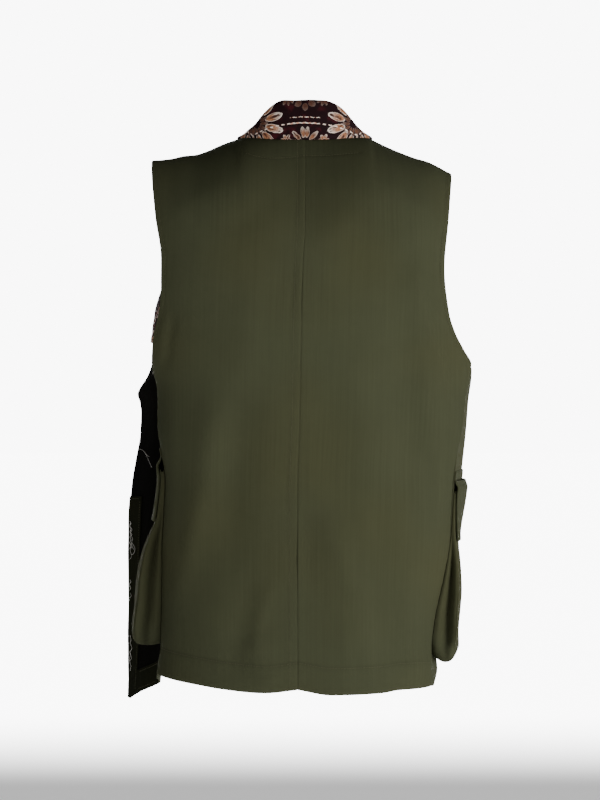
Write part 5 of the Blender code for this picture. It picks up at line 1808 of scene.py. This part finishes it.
@dataclass
class ShawlCollar:
    """The brocade collar with its lapels, in one round the neck."""

    fronts: dict[Side, Front]
    along_steps: int = 5
    across_steps: int = 5

    def front_section(self, side: Side, row: int) -> list[Array]:
        """Points across the lapel at one row: tucked edge, roll, then out over the front."""
        sheet = self.fronts[side].form.front
        share = float(row_share(row))
        edge, facing = sheet.read(share, FRONT_EDGE)
        height = edge[2]
        width = float(Profile(LAPEL_WIDTH)(height))
        off = CLOTH / 2.0 + COLLAR_GAP + COLLAR_CLOTH / 2.0
        inside = sheet.place(share, float(sheet.column_from_edge(share, COLLAR_TUCK)), -off)
        beyond = unit(edge - sheet.read(share, float(sheet.column_from_edge(share, COLLAR_STAND)))[0])
        drawn = float(ease((height - TUCK_ENDS) / (COLLAR_LIFTS - TUCK_ENDS)))
        lifted = float(ease((height - COLLAR_LIFTS) / -COLLAR_LIFTS * 1.2))
        hanging = (inside, edge - facing * off, edge + beyond * off)
        turned = (edge + beyond * off - facing * off * 0.9, edge + beyond * off * 1.05 - facing * off * 0.2,
                  edge + beyond * off * 0.8 + facing * off * 0.6)
        standing = (edge + beyond * off + facing * (CLOTH / 2.0 + EDGE_GAP),
                    edge + beyond * off + facing * COLLAR_STAND,
                    edge + beyond * off * 0.4 + facing * (off + COLLAR_CLOTH))
        points = [(low * (1.0 - drawn) + middle * drawn) * (1.0 - lifted) + high * lifted
                  for low, middle, high in zip(hanging, turned, standing)]
        points.append(edge + facing * (off + 0.0012 * lifted))
        for k in range(1, COLLAR_FALL_POINTS + 1):
            column = float(sheet.column_from_edge(share, width * k / COLLAR_FALL_POINTS))
            points.append(sheet.place(share, column, off))
        drawn_in = COLLAR_INSET * float(ease((height - COLLAR_INSET_FROM) / -COLLAR_INSET_FROM))
        points = [point + beyond * drawn_in for point in points]
        if side is Side.LEFT:
            for k in range(2, len(points)):
                away = min((k - 1) / 4.0, 1.0)
                for place, half, out in LAPEL_CURLS:
                    points[k] = points[k] + facing * out * away * float(bell((height - place) / half))
        return points

    @staticmethod
    def back_section(x: float, sign: float) -> list[Array]:
        """Points across the collar at the back neck: stand, roll, then the outer fall."""
        y = float(neck_y(x))
        z = -NECK_DROP * (1.0 - (x / NECK_HALF_WIDTH) ** 2)
        slope = unit(np.array((x / NECK_HALF_WIDTH * 1.2, 1.0 - (x / NECK_HALF_WIDTH) ** 2, 0.0)))
        drawn_in = COLLAR_INSET * (x / NECK_HALF_WIDTH) ** 6
        seam = np.array((x, y, z)) - slope * drawn_in
        height = float(Profile(COLLAR_ROLL)(x)) - z
        stand_off = CLOTH / 2.0 + COLLAR_EASE + COLLAR_CLOTH / 2.0
        foot = CLOTH / 2.0 + EDGE_GAP
        brow = height - COLLAR_BOW
        up = np.array((0.0, 0.0, 1.0))
        points = [seam - slope * stand_off + up * foot, seam - slope * stand_off + up * height * 0.75,
                  seam + up * height, seam + slope * stand_off + up * brow]
        for k in range(1, COLLAR_FALL_POINTS + 1):
            share = k / COLLAR_FALL_POINTS
            bow = COLLAR_BOW * np.sin(np.pi * share)
            points.append(seam + slope * (stand_off + COLLAR_FALL_OUT * share + bow)
                          + up * (brow * (1.0 - share) + (foot - COLLAR_LAP) * share))
        return [point * (sign, 1.0, 1.0) for point in points]

    def build(self, atelier: Atelier) -> None:
        """Make the collar: up one lapel, round the back neck and down the other."""
        rows = range(LAPEL_FROM_ROW, ROWS_BELOW + ROWS_ABOVE)
        sections = [self.front_section(Side.LEFT, row) for row in rows]
        angles = np.pi / 2.0 * (1.0 - np.arange(1, COLLAR_STATIONS + 1) / COLLAR_STATIONS)
        places = NECK_HALF_WIDTH * np.sin(angles)
        sections += [self.back_section(float(x), 1.0) for x in places]
        sections += [self.back_section(float(x), -1.0) for x in places[-2::-1]]
        sections += [self.front_section(Side.RIGHT, row) for row in reversed(rows)]
        grid = refine(np.array(sections), self.along_steps, self.across_steps)
        middle = (len(rows) + COLLAR_STATIONS - 1) * self.along_steps
        run = run_lengths(grid[:, -1])
        weft = np.broadcast_to((run - run[middle])[:, None], grid.shape[:2])
        across = run_lengths(grid, 1)
        warp = across[:, -1:] - across
        lift = 0.5 * MM * drift(weft, warp, 0.035, 12) + 0.35 * MM * bell((warp - 3.0 * MM) / (2.0 * MM))
        faces = grid_faces(*grid.shape[:2], False)
        flat = grid.reshape(-1, 3)
        normals = point_normals(flat, faces)
        if normals[middle * grid.shape[1] + 6 * self.across_steps][1] < 0.0:
            faces, normals = faces[:, ::-1], -normals
        lifted = flat + normals * lift.reshape(-1, 1)
        fields = {"cloth": np.stack((weft, warp, np.zeros_like(warp)), axis=-1).reshape(-1, 3)}
        shell = Shell(lifted, faces, fields, COLLAR_CLOTH / 2.0)
        cut = Cut(across.max(), run[-1], quad_area(flat, faces), Hold.FOLDED,
                  ("back_cloth_left", "back_cloth_right"))
        atelier.cloth_piece("shawl_collar_cloth", "shawl_collar", BROCADE, shell, cut)


class Strand(NamedTuple):
    """A loose or sewn thread as it shows from behind: its places (x, z), in millimetres like the rest."""

    half_width: float
    wander: float
    places: tuple[tuple[float, float], ...]


# White and grey threads at the left front's edge
STRANDS = (
    Strand(0.40, 0.7, ((248.619, -513.954), (246.764, -517.521), (249.19, -521.802), (246.621, -525.37),
            (248.334, -529.65), (245.765, -533.218), (248.477, -536.785), (246.479, -541.067),
            (248.905, -544.634), (246.907, -548.915), (248.619, -553.909))),
    Strand(0.26, 0.9, ((246.907, -516.094), (248.619, -520.375), (245.48, -526.083), (247.763, -531.791),
            (244.338, -538.926), (246.336, -545.347), (244.624, -550.342))),
    Strand(0.30, 0.6, ((245.765, -543.92), (242.34, -548.915), (240.628, -554.623), (242.626, -560.046),
            (246.051, -561.187), (247.763, -556.05), (245.48, -550.342), (242.911, -553.909))),
    Strand(0.22, 0.8, ((247.478, -557.477), (246.336, -563.899), (248.619, -568.893))),
    Strand(0.34, 0.6, ((248.905, -597.433), (247.192, -601.0), (249.333, -604.568), (247.478, -608.849),
            (249.19, -613.13))),
    Strand(0.20, 0.6, ((248.334, -615.984), (246.621, -620.265), (248.619, -623.832))),
    Strand(0.27, 0.9, ((248.619, -676.631), (246.479, -681.626), (248.048, -688.048), (245.48, -694.469),
            (247.763, -700.89), (246.051, -708.025), (248.619, -713.734), (246.621, -720.155),
            (248.619, -727.29))),
    Strand(0.34, 0.5, ((248.905, -698.75), (247.763, -704.458), (249.19, -710.88), (247.478, -717.301))),
    Strand(0.19, 0.5, ((235.205, -411.638), (229.212, -413.35), (223.932, -418.487), (218.652, -421.912))),
    Strand(0.17, 0.6, ((227.785, -414.206), (223.219, -420.485), (220.365, -425.48), (217.225, -431.901),
            (214.371, -437.609))),
    Strand(0.34, 0.4, ((203.669, -433.899), (202.099, -437.038), (203.383, -439.892), (202.242, -443.032))),
    Strand(0.30, 0.3, ((206.951, -459.014), (205.524, -461.012), (206.38, -463.295))),
    Strand(0.30, 0.2, ((213.515, -302.9), (212.373, -304.327), (212.944, -305.754))),
)


@dataclass
class LooseThreads:
    """The white hand stitches and loose ends at the swung-open left front."""

    front: Front
    finish: Thread = WHITE_THREAD
    sides: int = 6

    def line(self, strand: Strand, seed: int) -> Array:
        """A strand's line, laid on the cloth that lies behind its places.

        Args:
            strand: the strand.
            seed: sets how it wanders.

        Returns:
            Points along it.
        """
        places = np.array(strand.places)
        at = np.linspace(0.0, len(places) - 1.0, 8 * (len(places) - 1) + 1)
        x, z = np.stack([through_stations(places, place) for place in at], axis=1) * MM
        shares = np.linspace(0.0, 1.0, 160)[:, None]
        columns = np.linspace(SIDE_COLUMNS, FRONT_EDGE, 140)[None, :]
        points, normals = (part.reshape(-1, 3) for part in self.front.ground.read(shares, columns))
        x = x + 0.3 * MM * strand.wander * np.sin(at * 2.1 + seed)
        off = MM * strand.wander * np.abs(np.sin(at * 1.7 + 2.0 * seed))
        line = []
        for here_x, here_z, more in zip(x, z, off):
            near = np.argmin(np.square(points[:, 0] - here_x) + np.square(points[:, 2] - here_z))
            lift = 2.0 * CLOTH + (0.4 + strand.half_width) * MM + more
            line.append((here_x, points[near][1] + lift / max(normals[near][1], 0.35), here_z))
        line = np.array(line)
        kernel = np.array((1.0, 2.0, 3.0, 2.0, 1.0)) / 9.0
        line[:, 1] = np.convolve(np.pad(line[:, 1], 2, mode="edge"), kernel, mode="valid")
        return line

    def rounded(self, line: Array, half_width: float) -> Array:
        """Points of a round thread along a line, thinner at both ends."""
        run = unit(np.gradient(line, axis=0))
        side = unit(np.cross(run, (0.31, 0.92, 0.24)))
        over = np.cross(run, side)
        girth = np.full((len(line), 1), half_width)
        girth[[0, -1]] *= 0.4
        turns = np.arange(self.sides) * TURN / self.sides
        rings = [line + (side * np.cos(turn) + over * np.sin(turn)) * girth for turn in turns]
        return np.stack(rings, axis=1).reshape(-1, 3)

    def build(self, atelier: Atelier) -> None:
        """Make all of them as one piece."""
        points, faces, count = [], [], 0
        for seed, strand in enumerate(STRANDS):
            line = self.line(strand, seed)
            faces += [[index + count for index in face] for face in ring_faces(len(line), self.sides)]
            points.append(self.rounded(line, strand.half_width * MM))
            count += len(points[-1])
        atelier.piece("loose_threads", np.concatenate(points), faces, self.finish, sharp=70.0)


@dataclass(frozen=True)
class SoftLight:
    """A large soft light, aimed at the middle of the garment."""

    name: str
    place: tuple[float, float, float]
    size: float
    power: float

    def hang(self) -> None:
        """Put it up, facing the garment's middle."""
        data = bpy.data.lights.new(self.name, "AREA")
        data.shape, data.size, data.energy = "SQUARE", self.size, self.power
        lamp = bpy.data.objects.new(self.name, data)
        lamp.location = self.place
        aim = np.array(GARMENT_MIDDLE) - np.array(self.place)
        tilt = np.arctan2(np.hypot(aim[0], aim[1]), -aim[2])
        lamp.rotation_euler = (tilt, 0.0, np.arctan2(-aim[0], aim[1]))
        bpy.context.scene.collection.objects.link(lamp)


GARMENT_MIDDLE = (0.0, 0.0, -0.36)
WHITE = (1.0, 1.0, 1.0, 1.0)


@dataclass
class Studio:
    """A bright photo studio: white surroundings, soft light, and the camera behind the garment."""

    camera_at: tuple[float, float, float] = (0.0066, 2.6, -0.342)
    lens: float = 88.92
    sensor: float = 36.0
    walls: float = 0.80
    shade: float = 0.30
    ceiling: float = 0.14
    backdrop: float = 9.0
    floor_height: float = -1.05
    floor_colour: float = 0.9
    floor_glow: float = 0.36
    sweep_half_width: float = 0.46
    sweep_fade: float = 0.40
    sweep_flare: float = 0.17
    floor_reach: float = 24.0
    lights: tuple[SoftLight, ...] = (
        SoftLight("key_light", (-2.0, 1.7, -0.45), 1.3, 46.0),
        SoftLight("fill_light", (1.2, 2.6, -0.5), 1.8, 10.0),
    )

    def build(self) -> None:
        """Put up the surroundings, the floor, the lights and the camera."""
        self.surround()
        self.lay_floor()
        for light in self.lights:
            light.hang()
        data = bpy.data.cameras.new("camera")
        data.lens, data.sensor_width = self.lens, self.sensor
        camera = bpy.data.objects.new("camera", data)
        camera.location = self.camera_at
        camera.rotation_euler = (np.pi / 2.0, 0.0, np.pi)
        bpy.context.scene.collection.objects.link(camera)
        bpy.context.scene.camera = camera

    def surround(self) -> None:
        """White walls all round, brightest behind the garment, under a darker ceiling."""
        world = bpy.data.worlds.new("studio")
        world.use_nodes = True
        desk = Desk(world.node_tree)
        x, y, z = desk.split(desk.wire("ShaderNodeTexCoord", output="Generated"))
        strength = desk.ramp(z, 0.15, 0.55, self.walls, self.ceiling)
        strength = strength + desk.ramp(x, 0.10, 0.85, 0.0, -self.shade)
        strength = strength + desk.ramp(y, -0.88, -0.955, 0.0, self.backdrop - self.walls)
        background = world.node_tree.nodes["Background"].inputs
        desk.plug(background["Color"], WHITE)
        desk.plug(background["Strength"], strength)
        bpy.context.scene.world = world

    def lay_floor(self) -> None:
        """A white floor well below the hem, glowing softly all over and painted with a bright glowing sweep
        behind the garment.
        """
        mesh = bpy.data.meshes.new("floor")
        corners = [(x * self.floor_reach, y * self.floor_reach, self.floor_height)
                   for x, y in ((-1, -1), (1, -1), (1, 1), (-1, 1))]
        mesh.from_pydata(corners, [], [(0, 1, 2, 3)])
        bench = Bench("floor_white")
        x, y, _ = bench.split(bench.wire("ShaderNodeTexCoord", output="Object"))
        # Painted light: a bright pool of glow on the floor behind the garment, widening away from it.
        beside = y * self.sweep_flare + bench.math("ABSOLUTE", x)
        painted_light_sweep = bench.ramp(y, -1.00, -1.90) * bench.ramp(beside, self.sweep_half_width + self.sweep_fade,
                                                       self.sweep_half_width)
        glow = painted_light_sweep * (self.backdrop - self.floor_glow) + self.floor_glow
        colour = (self.floor_colour,) * 3 + (1.0,)
        mesh.materials.append(bench.finish(base_color=colour, emission_color=WHITE, emission_strength=glow,
                                           roughness=0.9, specular_ior_level=0.0))
        floor = bpy.data.objects.new("floor", mesh)
        bpy.context.scene.collection.objects.link(floor)


def main() -> None:
    """Build the garment and its studio in order, and report each step."""
    logging.basicConfig(level=logging.INFO, format="%(name)s: %(message)s")
    atelier = Atelier()
    olive = Sewing("olive_stitches", TONAL_THREAD)
    dark = Sewing("dark_stitches", DARK_THREAD)
    forms = {side: WornForm(side) for side in Side}
    for form in forms.values():
        BackHalf(form).build(atelier, olive)
    fronts = {side: Front(form) for side, form in forms.items()}
    for front in fronts.values():
        front.build(atelier, olive, dark)
        Trims(front).build(atelier, olive)
        BellowsPocket(front).build(atelier, olive)
    ShawlCollar(fronts).build(atelier)
    olive.build(atelier)
    dark.build(atelier)
    LooseThreads(fronts[Side.LEFT]).build(atelier)
    Studio().build()
    LOG.info("in all: %d triangles", atelier.triangles)


if __name__ == "__main__":
    main()
